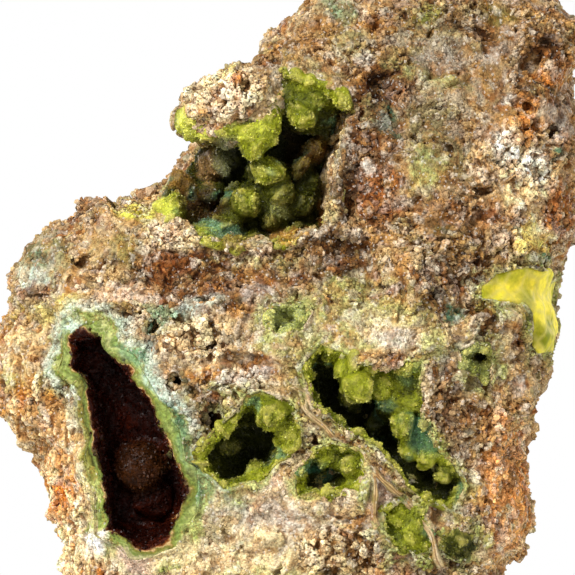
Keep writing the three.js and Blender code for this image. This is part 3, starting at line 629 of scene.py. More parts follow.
def tree_of(node):
    """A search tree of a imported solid, in millimetres."""
    mesh = frame["nodes"][node].data
    corners = [v.co / MM for v in mesh.vertices]
    return BVHTree.FromPolygons(corners, [tuple(face.vertices) for face in mesh.polygons])


def distance_to(points, nodes, reach=3.0):
    """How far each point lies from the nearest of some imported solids, up to a reach."""
    nearest = np.full(len(points), reach)
    for node in nodes:
        tree = tree_of(node)
        for i in np.flatnonzero(near_box(points, node, reach)):
            distance = tree.find_nearest(points[i], nearest[i])[3]
            if distance is not None:
                nearest[i] = distance
    return nearest


def triangle_count(mesh):
    return sum(len(face.vertices) - 2 for face in mesh.polygons)


def finish_piece(piece, material, slot, *nodes):
    """The piece rides on the specimen, takes its material and stands for its nodes, which it hides;
    its slot is not used.
    """
    piece.data.materials.clear()
    piece.data.materials.append(material)
    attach(piece, ROOT)
    if nodes:
        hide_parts(*nodes)
    print(f"{piece.name}: {triangle_count(piece.data)} triangles")


def shade_smooth(piece):
    smooth = np.ones(len(piece.data.polygons), dtype=bool)
    piece.data.polygons.foreach_set("use_smooth", smooth)


# ---- Strewing small shapes with Geometry Nodes ---------------------------------------------------
SHADE_SEED = 7
CRUMB_SIZES = (0.1, 0.42)  # radii in mm
GRAIN_SHAPE = (1, 1.5, False)  # how finely grains are divided, how rough they are, and if smooth
ABOVE_FLOOR = 0.01  # mm


def add_node(tree, kind, inputs=None, **settings):
    """A node with its plain settings, and each input set to a value or joined to an output."""
    node = tree.nodes.new(kind)
    for name, value in settings.items():
        setattr(node, name, value)
    for key, value in (inputs or {}).items():
        if isinstance(value, bpy.types.NodeSocket):
            tree.links.new(value, node.inputs[key])
        else:
            node.inputs[key].default_value = value
    return node


def add_math(tree, operation, *inputs):
    """A Math node's output."""
    return add_node(tree, "ShaderNodeMath", dict(enumerate(inputs)), operation=operation).outputs[0]


def vector_times(tree, vector, times):
    return add_node(tree, "ShaderNodeVectorMath", {0: vector, "Scale": times},
                    operation="SCALE").outputs[0]


def moved_by(tree, geometry, offset):
    return add_node(tree, "GeometryNodeSetPosition",
                    {"Geometry": geometry, "Offset": offset}).outputs[0]


def named(tree, name):
    """The value of a named attribute."""
    return add_node(tree, "GeometryNodeInputNamedAttribute", {"Name": name},
                    data_type="FLOAT").outputs["Attribute"]


def stored(tree, geometry, name, value, domain):
    """The geometry with a value stored in a named attribute."""
    return add_node(tree, "GeometryNodeStoreNamedAttribute",
                    {"Geometry": geometry, "Name": name, "Value": value},
                    data_type="FLOAT", domain=domain).outputs[0]


def random_value(tree, seed, kind="FLOAT", **limits):
    return add_node(tree, "FunctionNodeRandomValue", {**limits, "Seed": seed},
                    data_type=kind).outputs["Value"]


def grain_shapes(tree, sides, rough):
    """Two small shapes of radius 1, ready to be picked from."""
    both = add_node(tree, "GeometryNodeJoinGeometry")
    shapes = []
    for number in (0, 1):
        if sides == "pyramids":
            kind, cuts = "GeometryNodeMeshUVSphere", {"Segments": 3, "Rings": 2}
        else:
            kind, cuts = "GeometryNodeMeshIcoSphere", {"Subdivisions": sides}
        ball = add_node(tree, kind, {**cuts, "Radius": 1.0})
        where = add_node(tree, "GeometryNodeInputPosition").outputs[0]
        shifted = add_node(tree, "ShaderNodeVectorMath", {0: where, 1: (3.1 * number, 1.7, 0.4)})
        wobble = add_node(tree, "ShaderNodeTexNoise", {"Vector": shifted.outputs[0], "Scale": 1.1})
        centred = add_node(tree, "ShaderNodeVectorMath",
                           {0: wobble.outputs["Color"], 1: (-0.5, -0.5, -0.5)})
        bent = moved_by(tree, ball.outputs["Mesh"], vector_times(tree, centred.outputs[0], rough))
        shapes.append(add_node(tree, "GeometryNodeGeometryToInstance", {"Geometry": bent}))
    for shape in shapes:
        tree.links.new(shape.outputs[0], both.inputs[0])
    return both.outputs[0]


def strewing_tree(name, sides, rough, smooth):
    """A tree that strews small shapes over a surface, as thickly as its attribute mask says."""
    tree = bpy.data.node_groups.new(name, "GeometryNodeTree")
    for label, kind in (("Surface", "Geometry"), ("Density", "Float"), ("Seed", "Int"),
                        ("Smallest", "Float"), ("Largest", "Float"), ("Lift", "Float"),
                        ("Finish", "Material")):
        tree.interface.new_socket(label, in_out="INPUT", socket_type="NodeSocket" + kind)
    tree.interface.new_socket("Grains", in_out="OUTPUT", socket_type="NodeSocketGeometry")
    given = add_node(tree, "NodeGroupInput").outputs
    seed = given["Seed"]
    density = add_math(tree, "MULTIPLY", given["Density"], named(tree, "mask"))
    strewn = add_node(tree, "GeometryNodeDistributePointsOnFaces",
                      {"Mesh": given["Surface"], "Density": density, "Seed": seed}).outputs
    small_often = add_math(tree, "POWER", random_value(tree, seed), 2.2)
    spread = add_math(tree, "SUBTRACT", given["Largest"], given["Smallest"])
    size = add_math(tree, "MULTIPLY_ADD", small_often, spread, given["Smallest"])
    points = stored(tree, strewn["Points"], "size", size, "POINT")
    size = named(tree, "size")
    raised = add_math(tree, "MULTIPLY", size, given["Lift"])
    points = moved_by(tree, points, vector_times(tree, strewn["Normal"], raised))
    uneven = random_value(tree, seed, "FLOAT_VECTOR", Min=(0.7, 0.7, 0.6), Max=(1.3, 1.2, 1.1))
    angle = random_value(tree, seed, "FLOAT_VECTOR", Max=(math.tau, math.tau, math.tau))
    turn = add_node(tree, "FunctionNodeEulerToRotation", {0: angle}).outputs[0]
    placed = add_node(tree, "GeometryNodeInstanceOnPoints",
                      {"Points": points, "Instance": grain_shapes(tree, sides, rough),
                       "Pick Instance": True,
                       "Instance Index": random_value(tree, seed, "INT", Min=0, Max=1),
                       "Rotation": turn, "Scale": vector_times(tree, uneven, size)}).outputs[0]
    shaded = stored(tree, placed, "shade", random_value(tree, SHADE_SEED), "INSTANCE")
    realised = add_node(tree, "GeometryNodeRealizeInstances", {"Geometry": shaded}).outputs[0]
    shading = add_node(tree, "GeometryNodeSetShadeSmooth",
                       {"Geometry": realised, "Shade Smooth": smooth}).outputs[0]
    finish = add_node(tree, "GeometryNodeSetMaterial",
                      {"Geometry": shading, "Material": given["Finish"]}).outputs[0]
    add_node(tree, "NodeGroupOutput", {0: finish})
    return tree


def strewing(name, sides, rough, smooth):
    """The tree of that name, made when it is first asked for."""
    return bpy.data.node_groups.get(name) or strewing_tree(name, sides, rough, smooth)


def mask_area(mesh):
    """The mesh's area weighted by its mask, in square metres."""
    areas = gathered(mesh.polygons, "area")
    mask = gathered(mesh.attributes["mask"].data, "value")
    sides = gathered(mesh.polygons, "loop_total", kind=np.int32)
    corners = gathered(mesh.loops, "vertex_index", kind=np.int32)
    starts = np.concatenate([[0], np.cumsum(sides)[:-1]])
    return float((np.add.reduceat(mask[corners], starts) / sides * areas).sum())


def strew(name, surface, mask, tree, count, sizes, lift, seed, finish=None):
    """A piece of small shapes strewn over another piece: about that many, with radii in
    millimetres, thicker where the mask is higher."""
    piece = new_piece(name, surface.data.copy())
    set_value(piece.data, "mask", np.clip(mask, 0, 1))
    modifier = piece.modifiers.new("Strewing", "NODES")
    modifier.node_group = tree
    inputs = {item.name: item.identifier for item in tree.interface.items_tree
              if item.item_type == "SOCKET" and item.in_out == "INPUT"}
    values = {"Density": count / max(mask_area(piece.data), 1e-9), "Seed": seed,
              "Smallest": sizes[0] * MM, "Largest": sizes[1] * MM, "Lift": lift, "Finish": finish}
    for label, value in values.items():
        modifier[inputs[label]] = value
    made_plain(piece)
    grains = places(piece.data)
    grains[:, 2] = np.maximum(grains[:, 2], ABOVE_FLOOR)
    set_places(piece.data, grains)
    for spare in ("mask", "size"):
        if spare in piece.data.attributes:
            piece.data.attributes.remove(piece.data.attributes[spare])
    return piece


# ---- Materials -----------------------------------------------------------------------------------
QUARTZ, WARM_GRAIN = (0.80, 0.74, 0.66, 1), (0.42, 0.17, 0.04, 1)
# Painted shade: the near-black brown laid in the pores between grains.
PORE_SHADE = (0.035, 0.017, 0.008, 1)


def new_material(name, gloss, glow=None):
    """A material, its tree and its Principled shader. Glow is how much light passes into it, how
    far as red, green and blue, and a scale in millimetres."""
    material = bpy.data.materials.new(name)
    material.use_nodes = True
    tree = material.node_tree
    shader = tree.nodes["Principled BSDF"]
    shader.inputs["Specular IOR Level"].default_value = gloss
    if glow:
        shader.inputs["Subsurface Weight"].default_value = glow[0]
        shader.inputs["Subsurface Radius"].default_value = glow[1]
        shader.inputs["Subsurface Scale"].default_value = glow[2] * MM
    return material, tree, shader


def attribute(tree, name, output="Fac"):
    return add_node(tree, "ShaderNodeAttribute", attribute_name=name).outputs[output]


def object_place(tree):
    return add_node(tree, "ShaderNodeTexCoord").outputs["Object"]


def noise_node(tree, scale, detail=2.0, roughness=0.5):
    """Smooth noise, its scale for each metre."""
    return add_node(tree, "ShaderNodeTexNoise",
                    {"Vector": object_place(tree), "Scale": scale, "Detail": detail,
                     "Roughness": roughness}).outputs[0]


def cell_nodes(tree, scale):
    """Cells, each with three numbers of its own, and the distance to their middles."""
    cells = add_node(tree, "ShaderNodeTexVoronoi", {"Vector": object_place(tree), "Scale": scale})
    own = add_node(tree, "ShaderNodeSeparateColor", {0: cells.outputs["Color"]}).outputs
    return own, cells.outputs["Distance"]


def ranged(tree, value, low, high, to_low=0.0, to_high=1.0):
    """A value moved from one range to another and kept inside it."""
    return add_node(tree, "ShaderNodeMapRange",
                    {"Value": value, "From Min": low, "From Max": high, "To Min": to_low,
                     "To Max": to_high}).outputs[0]


def mix_colour(tree, share, first, second, blend_type="MIX"):
    return add_node(tree, "ShaderNodeMix", {0: share, 6: first, 7: second},
                    data_type="RGBA", blend_type=blend_type).outputs[2]


def brightened(tree, colour, level):
    """A colour times a level."""
    grey = add_node(tree, "ShaderNodeCombineColor", {0: level, 1: level, 2: level}).outputs[0]
    return mix_colour(tree, 1.0, colour, grey, "MULTIPLY")


def new_group(name, **inputs):
    """A shader group that takes a colour and named numbers, and gives colour, height and
    roughness."""
    tree = bpy.data.node_groups.new(name, "ShaderNodeTree")
    for label, default in inputs.items():
        kind = "NodeSocketFloat" if isinstance(default, float) else "NodeSocketColor"
        socket = tree.interface.new_socket(label.replace("_", " "), in_out="INPUT",
                                           socket_type=kind)
        socket.default_value = default
    for label, kind in (("Colour", "Color"), ("Height", "Float"), ("Roughness", "Float")):
        tree.interface.new_socket(label, in_out="OUTPUT", socket_type="NodeSocket" + kind)
    return tree, add_node(tree, "NodeGroupInput").outputs


def group_gives(tree, colour, height, roughness):
    add_node(tree, "NodeGroupOutput", {"Colour": colour, "Height": height, "Roughness": roughness})
    return tree


def make_speckle(name):
    """Fine grains over a colour: pale quartz, dark gaps that are painted shade in the pores between
    them, and uneven brightness.
    """
    tree, given = new_group(name, Colour=(0.5, 0.4, 0.3, 1), Grains_per_metre=2400.0, Contrast=0.6,
                            Quartz=0.1, Gaps=0.3, Warmth=0.0)
    own, distance = cell_nodes(tree, given[1])
    fine = noise_node(tree, add_math(tree, "MULTIPLY", given[1], 0.7), 4.0, 0.65)
    level = add_math(tree, "MULTIPLY_ADD", add_math(tree, "SUBTRACT", own[0], 0.45),
                     given["Contrast"], 1.0)
    colour = brightened(tree, given["Colour"], level)
    is_quartz = add_math(tree, "GREATER_THAN", own[1],
                         add_math(tree, "SUBTRACT", 1.0, given["Quartz"]))
    colour = mix_colour(tree, add_math(tree, "MULTIPLY", is_quartz, 0.4), colour, QUARTZ)
    is_warm = add_math(tree, "GREATER_THAN", own[2], 0.8)
    colour = mix_colour(tree, add_math(tree, "MULTIPLY", is_warm, given["Warmth"]), colour,
                        WARM_GRAIN)
    # Painted shade in the pores: where the fine noise is low the colour goes dark, by the Gaps
    # amount.
    colour = mix_colour(tree, ranged(tree, fine, 0.49, 0.39, 0.0, given["Gaps"]), colour, PORE_SHADE)
    round_top = add_math(tree, "SUBTRACT", 1.0, distance)
    return group_gives(tree, colour, add_math(tree, "ADD", fine, round_top),
                       add_math(tree, "MULTIPLY_ADD", is_quartz, -0.45, 0.92))


def make_sparkle(name):
    """The fine crystal skin of a crust: uneven facets, and a colour varied by them."""
    tree, given = new_group(name, Colour=(0.5, 0.5, 0.1, 1), Facets_per_metre=5200.0, Contrast=0.5)
    own, distance = cell_nodes(tree, given["Facets per metre"])
    cloud = noise_node(tree, 900.0, 3.0)
    signed = add_math(tree, "ADD", add_math(tree, "SUBTRACT", own[0], 0.5),
                      add_math(tree, "SUBTRACT", cloud, 0.5))
    level = add_math(tree, "MULTIPLY_ADD", signed, given["Contrast"], 1.0)
    facet = add_math(tree, "SUBTRACT", own[1], add_math(tree, "MULTIPLY", distance, 0.8))
    return group_gives(tree, brightened(tree, given["Colour"], level), facet,
                       add_math(tree, "MULTIPLY_ADD", own[2], 0.35, 0.2))


def dress(tree, shader, kind, colour, bump, rougher=0.0, height=None, **values):
    """Joins a colour to the shader through a shared group, made when it is first asked for. A
    bump is its strength and its distance in millimetres."""
    name, make = kind
    group = bpy.data.node_groups.get(name) or make(name)
    inputs = {label.replace("_", " "): value for label, value in values.items()}
    skin = add_node(tree, "ShaderNodeGroup", {"Colour": colour, **inputs}, node_tree=group).outputs
    roughness = skin["Roughness"]
    if rougher:
        roughness = add_math(tree, "ADD", roughness, rougher)
    bent = add_node(tree, "ShaderNodeBump", {"Strength": bump[0], "Distance": bump[1] * MM,
                                             "Height": height or skin["Height"]})
    for value, socket in ((skin["Colour"], "Base Color"), (roughness, "Roughness"),
                          (bent.outputs[0], "Normal")):
        tree.links.new(value, shader.inputs[socket])


SPECKLE, SPARKLE = ("mineral_speckle", make_speckle), ("crystal_sparkle", make_sparkle)


def shaded_tint(tree, low, high):
    """The colour a small shape took from the ground under it, varied by its own shade."""
    return brightened(tree, attribute(tree, "tint", "Color"),
                      ranged(tree, attribute(tree, "shade"), 0.0, 1.0, low, high))


def tinted_finish(name, gloss, kind, bump, glow=None, shade=None, rougher=0.0, **values):
    """A finish in the surface's own tint, varied by each small shape's shade where that is
    given as a low and a high level."""
    material, tree, shader = new_material(name, gloss, glow)
    colour = shaded_tint(tree, *shade) if shade else attribute(tree, "tint", "Color")
    dress(tree, shader, kind, colour, bump, rougher, **values)
    return material


def crumbly_rock():
    material, tree, shader = new_material("crumbly_rock", 0.15)
    rough = attribute(tree, "rough")
    # Gaps sets how strongly the painted shade darkens the pores, more where the rock is crumbly.
    dress(tree, shader, SPECKLE, attribute(tree, "tint", "Color"), (0.9, 0.13),
          Grains_per_metre=4200.0, Contrast=ranged(tree, rough, 0.0, 1.0, 0.55, 1.0), Quartz=0.05,
          Gaps=ranged(tree, rough, 0.0, 1.0, 0.5, 0.95), Warmth=0.25)
    return material


def crystal_finish(name, shade, through, gloss):
    return tinted_finish(name, gloss, SPARKLE, (0.2, 0.02), (through, (1.0, 0.95, 0.3), 0.5), shade,
                         Facets_per_metre=9000.0, Contrast=0.2)


# The colours across the dark pocket's lip, from inside it outwards.
BANDS = (
    (0.00, "maroon"), (0.25, "maroon"), (0.30, "rust"), (0.34, "sand"), (0.38, "olive"),
    (0.46, "leaf"), (0.54, "fern"), (0.62, "leaf"), (0.72, "fern"), (0.86, "pistachio"),
    (1.0, "sage"),
)


def dark_pocket_finish():
    """Bands that follow the pocket's mouth, and a dark brown druse inside it."""
    material, tree, shader = new_material("banded_crust", 0.08, (0.3, (1.0, 0.8, 0.35), 0.6))
    waver = add_math(tree, "SUBTRACT", noise_node(tree, 420.0, 3.0, 0.6), 0.5)
    shifted = add_math(tree, "ADD", attribute(tree, "rim"),
                       add_math(tree, "MULTIPLY", waver, 2.0))
    along = add_math(tree, "DIVIDE", add_math(tree, "ADD", shifted, 1.0), 3.0)
    ramp = add_node(tree, "ShaderNodeValToRGB", {"Fac": along})
    elements = ramp.color_ramp.elements
    while len(elements) < len(BANDS):
        elements.new(0.5)
    for element, (position, colour) in zip(elements, BANDS):
        element.position = position
        element.color = socket_colour(colour)
    stripes = add_math(tree, "SINE", add_math(tree, "MULTIPLY", shifted, 21.0))
    banding = ranged(tree, noise_node(tree, 170.0), 0.45, 0.65, 0.0, 0.3)
    fine = ranged(tree, stripes, 0.2, 1.0, 0.0, banding)
    on_lip = ranged(tree, shifted, 0.15, 0.5)
    banded = mix_colour(tree, add_math(tree, "MULTIPLY", fine, on_lip), ramp.outputs[0],
                        socket_colour("cream"))
    milky = ranged(tree, noise_node(tree, 700.0, 4.0, 0.7), 0.5, 0.66, 0.0, 0.75)
    on_green = ranged(tree, shifted, 0.2, 0.8)
    clouded = mix_colour(tree, add_math(tree, "MULTIPLY", milky, on_green), banded,
                         socket_colour("pistachio"))
    druse = ranged(tree, attribute(tree, "depth"), 0.5, 1.1)
    beyond = ranged(tree, shifted, 1.7, 2.1)
    stained = add_math(tree, "MULTIPLY", attribute(tree, "stain"), on_green)
    own = add_math(tree, "MAXIMUM", stained, add_math(tree, "MAXIMUM", druse, beyond))
    inside = mix_colour(tree, own, clouded, attribute(tree, "tint", "Color"))
    dress(tree, shader, SPARKLE, inside, (0.6, 0.1), Facets_per_metre=4200.0, Contrast=0.6)
    return material


def waxy_yellow():
    """The smooth translucent vein, with a faint net of paler seams."""
    material, tree, shader = new_material("yellow_vein", 0.08, (0.8, (1.0, 0.9, 0.2), 2.0))
    cloud = noise_node(tree, 260.0, 5.0)
    seams = add_node(tree, "ShaderNodeTexVoronoi", {"Vector": object_place(tree), "Scale": 420.0},
                     feature="DISTANCE_TO_EDGE").outputs[0]
    ground = mix_colour(tree, ranged(tree, cloud, 0.38, 0.55), socket_colour("lime"),
                        socket_colour("yolk"))
    veined = mix_colour(tree, ranged(tree, seams, 0.16, 0.0, 0.0, 0.6), ground,
                        socket_colour("straw"))
    dress(tree, shader, SPARKLE, veined, (0.4, 0.2), 0.3, cloud,
          Facets_per_metre=2600.0, Contrast=0.2)
    return material


def plain_pale():
    """The floor: nearly white, with the faint mottle of a sheet of paper."""
    material, tree, shader = new_material("pale_floor", 0.1)
    colour = mix_colour(tree, noise_node(tree, 40.0), (0.86, 0.86, 0.86, 1), (0.9, 0.9, 0.9, 1))
    tree.links.new(colour, shader.inputs["Base Color"])
    shader.inputs["Roughness"].default_value = 0.9
    return material


# ---- The rock ------------------------------------------------------------------------------------
OTHER_NODES = (*GREEN_CRUSTS, "dark_pocket_crust", "yellow_vein")
SPLIT_X, SPLIT_Y, SPLIT_Z = -2.0, 2.0, 38.0  # where the rock's mesh is parted
HIDDEN = -9.0  # the margin given to the edges of the walls inside it
DEEP = -2.0  # and to what lies behind the lining of the dark pocket
# The rock's parts: the cuts that leave each, its share of the most triangles, and the share of the
# most grains, the seed and the coarseness of its grains. A cut is an axis, a level and the side
# that goes.
ROCK_PARTS = (
    ("rock_upper_front", ((1, SPLIT_Y, 1), (2, SPLIT_Z, -1)), 1.0, 1.0, 11, 1.0),
    ("rock_lower_left", ((1, SPLIT_Y, 1), (2, SPLIT_Z, 1), (0, SPLIT_X, 1)), 1.0, 0.7, 12, 1.0),
    ("rock_lower_right", ((1, SPLIT_Y, 1), (2, SPLIT_Z, 1), (0, SPLIT_X, -1)), 1.0, 0.7, 13, 1.0),
    ("rock_behind", ((1, SPLIT_Y, -1),), 0.57, 0.45, 17, 1.8),
)
DARK_COVER, VEIN_COVER = 0.5, 0.35  # how far the rock may creep over the lip and the vein, in mm
BURIED = -0.45  # the margin where the rock is sunk all the way behind a crust
SINKING, DARK_SINKING = 0.8, 0.6  # how far it sinks there, and how much more in the dark pocket
LOWEST, HIGHEST = -1.8, 0.9  # how far the relief goes in and out
BOX_MARGIN = 0.5  # how near to a crust's box its cover counts, in mm
BOX_SPARE = 0.02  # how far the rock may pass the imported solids' box, as a share of it
BRIGHTEST = 0.85  # no part of a colour passes this


def facing_front(face):
    """1 on what the front shows, falling to 0 where the side turns away."""
    return smoothstep(-0.05, 0.45, -face[:, 1])


def in_ovals(points, ovals, low, high, ragged=0.0):
    """1 inside any of some ovals on the front, 0 outside, with edges between low and high."""
    share = np.zeros(len(points))
    for middle_and_size in ovals:
        share = np.maximum(share, smoothstep(low, high, oval(points, *middle_and_size) + ragged))
    return share


def off_sheets(points, mask, low, high):
    """A mask with the thin sheets left out."""
    for line in SEPTA:
        away = smoothstep(low, high, line_distance(points, line))
        mask = mask * np.where(points[:, 1] < 0, away, 1)
    return mask


def clod_mask(points, room):
    """Where clods may stand: off the crusts, the vein, the thin sheets and the base."""
    mask = smoothstep(0.25, 0.8, room) * smoothstep(1.2, 2.4, points[:, 2])
    mask = off_sheets(points, mask, 0.9, 1.6)
    return mask * (0.25 + 0.75 * clouds(points, -0.35, 0.25, 5.0, 2, 40))


def margin_of(points, room):
    """How far a point of the joined mesh lies outside the crusts' ragged edges: negative where
    a crust covers the rock."""
    edge = room < 2.9
    bare = np.zeros(len(points))
    bare[edge] = distance_to(points[edge], ("rock",))
    cover = np.zeros(len(points))
    covers = {node: looks["cover"] for node, looks in GREEN_CRUSTS.items()}
    covers.update({"dark_pocket_crust": DARK_COVER, "yellow_vein": VEIN_COVER})
    for node, most in covers.items():
        near = near_box(points, node, BOX_MARGIN)
        cover[near] = most
        if node == "yellow_vein":  # the rock creeps further over its side
            cover[near] += 2.5 * smoothstep(-9, 1, points[near, 1])
    creep = cover * (0.35 + 3.0 * np.maximum(0, fractal(points, 2.6, 4, 75)))
    margin = room - bare + np.maximum(np.minimum(creep, cover), 2.4 * overgrown(points))
    inner = (mouth_distance(points, DARK_MOUTH) < 0.2) & (points[:, 1] < SPLIT_Y)
    return np.where(inner, DEEP, margin)


def overgrown(points):
    """1 in the places on the front where the rock creeps right over a crust's edge."""
    ragged = 0.35 * fractal(points, 1.8, 3, 76)
    return in_ovals(points, OVERGROWN, 1.15, 0.75, ragged) * (points[:, 1] < SPLIT_Y)


def lip_width(points):
    """How wide the green lip of the dark pocket is: narrow on the left, wide below."""
    return (1.4 + 1.0 * smoothstep(-20, -13, points[:, 0]) + 1.1 * smoothstep(12, 8.5, points[:, 2])
            + 0.5 * smoothstep(31, 33, points[:, 2]))


def block_share(points):
    """1 in the places where the rock is broken into small blocks."""
    return in_ovals(points, BLOCKY, 1.3, 0.8)


def flow_strips(points):
    """How much of the left flank's wavy upright strips there is, and their height."""
    left = smoothstep(-17.5, -20.5, points[:, 0]) * smoothstep(34, 31, points[:, 2])
    bent = points + 0.6 * fractal(points, 2.5, 2, 49)[:, None]
    return left, fractal(bent, (0.7, 0.7, 3.8), 2, 50)


def from_dark_axis(points):
    """The direction from the dark pocket's long middle line to each point."""
    start, end = (np.array(place) for place in DARK_AXIS)
    along = end - start
    share = np.clip((points - start) @ along / (along @ along), 0, 1)
    ray = points - start - share[:, None] * along
    return ray / np.linalg.norm(ray, axis=1).clip(0.01)[:, None]


def rock_form(mesh, margin, relief):
    """Roughens the rock: lumps, pits, wavy flow strips on the left, and the named dents."""
    points, face = places(mesh), normals(mesh)
    seen = facing_front(face)
    calm = smoothstep(-0.35, 0.3, margin) * smoothstep(0.1, 1.4, points[:, 2])
    sheets = off_sheets(points, np.ones(len(points)), 0.6, 1.3)
    bent = points + 0.3 * np.stack([noise(points, 0.8, seed) for seed in (61, 62, 63)], axis=1)
    rough = crumbliness(points, seen)
    set_value(mesh, "rough", rough)
    rise = 0.65 * fractal(points, 4.5, 3, 1)
    rise += 0.34 * fractal(points, 1.6, 4, 2, 0.7) * (0.6 + 0.4 * rough)
    blocky = block_share(points) * seen
    cell, _ = knobs(bent, 1.5, 7)
    rise += (0.85 * dome(cell, 0.62) - 0.48) * blocky
    cell, own = knobs(bent, 1.1, 5)
    rise += (0.3 * dome(cell) - 0.15) * smoothstep(0.3, 0.8, own) * rough * (1 - blocky)
    cell, own = knobs(bent, 0.5, 15)
    rise += (0.27 * dome(cell) * (0.3 + 0.7 * own) - 0.12) * (0.35 + 0.65 * rough)
    rise -= 1.1 * clouds(points, 0.3, 0.7, 2.1, 3, 9)
    rise -= 0.5 * clouds(points, 0.15, 0.5, 0.8, 2, 10) * (0.3 + 0.7 * rough)
    left, strips = flow_strips(points)
    rise = rise * (1 - 0.6 * left) + 0.8 * left * strips
    rise *= relief * calm * sheets
    for *dent, deep in DENTS:
        off = oval(points, *dent) + 0.3 * noise(points, 0.9, 60)
        rise -= deep * smoothstep(1.15, 0.3, off) * seen * calm
    rise = np.clip(rise, LOWEST, HIGHEST) - SINKING * smoothstep(-0.1, BURIED, margin)
    rise += 0.25 * overgrown(points) * calm
    rise -= DARK_SINKING * (margin == DEEP)
    set_value(mesh, "rise", rise)
    # What faces away from the dark pocket behind its lining stays where it is.
    around = ((margin < BURIED) & (points[:, 1] < SPLIT_Y)
              & (mouth_distance(points, DARK_MOUTH) < 1.5))
    turned = np.einsum("ij,ij->i", face, from_dark_axis(points))
    rise = np.where(around, rise * smoothstep(0.6, 0.2, turned), rise)
    points = points + face * rise[:, None]
    low, high = (np.array(corner) / MM for corner in CAD_BOX)
    spare = BOX_SPARE * (high - low)
    points = np.clip(points, low - spare * (1, 0.6, 0), high + spare * (1, 0.6, 1))
    set_places(mesh, points)


def zone_shares(points, seen, zones):
    """Each zone's colour name and its share at every point, with ragged edges."""
    x = points[:, 0] + 1.1 * fractal(points, 2.4, 3, 31)
    z = points[:, 2] + 1.1 * fractal(points, 2.4, 3, 32)
    crumble = 0.5 * fractal(points, 1.1, 2, 33)
    for name, mid_x, mid_z, wide, high, tilt, strength in zones:
        turn = math.radians(tilt)
        along = (x - mid_x) * math.cos(turn) + (z - mid_z) * math.sin(turn)
        across = (z - mid_z) * math.cos(turn) - (x - mid_x) * math.sin(turn)
        off = np.hypot(along / wide, across / high) + crumble
        yield name, strength * smoothstep(1.4, 0.55, off) * seen


def zone_colours(points, colours, seen, zones):
    """Named zones laid over the ground colours."""
    return painted(colours, zone_shares(points, seen, zones))


def crumbliness(points, seen):
    """How crumbly the rock is, from 0 to 1: the pale zones are softer than the brown ones."""
    rough = clouds(points, -0.3, 0.25, 3.6, 2, 64)
    for name, share in zone_shares(points, seen, ZONES):
        if name in SOFT or name in CRUMBLY:
            rough += ((name in CRUMBLY) - rough) * share
    rough = np.maximum(rough, block_share(points) * seen)
    off_lip = smoothstep(-0.2, 1.0, mouth_distance(points, DARK_MOUTH) - lip_width(points))
    return rough * np.where(points[:, 1] < 0, off_lip, 1)


def patches(points, colours, kinds):
    """Cloudy patches laid over the ground colours."""
    return painted(colours, ((name, most * clouds(points, low, high, size, 3, seed))
                             for name, size, seed, low, high, most in kinds))


def toned(points, seen):
    """How much paler (over 1) or darker the front is in places."""
    ragged = 0.35 * fractal(points, 3.2, 3, 89)
    level = np.zeros(len(points))
    for *place, times in TONES:
        level += math.log(times) * smoothstep(1.35, 0.6, oval(points, *place) + ragged)
    return np.exp(level * seen)


# Cloudy patches over the rock, the broad ones first: colour, size, seed, where the noise starts
# and is full, and strength.
BROAD_PATCHES = (
    ("sand", 4.0, 3, -0.15, 0.25, 0.9), ("bone", 2.8, 8, 0.0, 0.4, 0.8),
    ("ochre", 3.6, 12, 0.05, 0.45, 0.8), ("rust", 2.8, 21, 0.15, 0.45, 0.85),
    ("sage", 3.2, 27, 0.12, 0.5, 0.6), ("lilac", 2.4, 34, 0.2, 0.5, 0.7),
)
SMALL_PATCHES = (
    ("bone", 1.3, 35, 0.1, 0.4, 0.45), ("lilac", 1.6, 36, 0.2, 0.45, 0.5),
    ("rust", 1.5, 37, 0.15, 0.45, 0.6), ("sage", 1.5, 38, 0.2, 0.5, 0.45),
    ("umber", 1.9, 29, 0.2, 0.5, 0.7),
)
LIP_PATCHES = (
    ("bone", 1.6, 53, 0.0, 0.4, 0.8), ("olive", 1.9, 54, 0.0, 0.4, 0.7),
    ("pistachio", 1.4, 59, 0.1, 0.4, 0.6),
)
IN_SHADOW = np.array((0.36, 0.2, 0.07))  # how much of each channel is left under the painted shade of the crevices and gaps
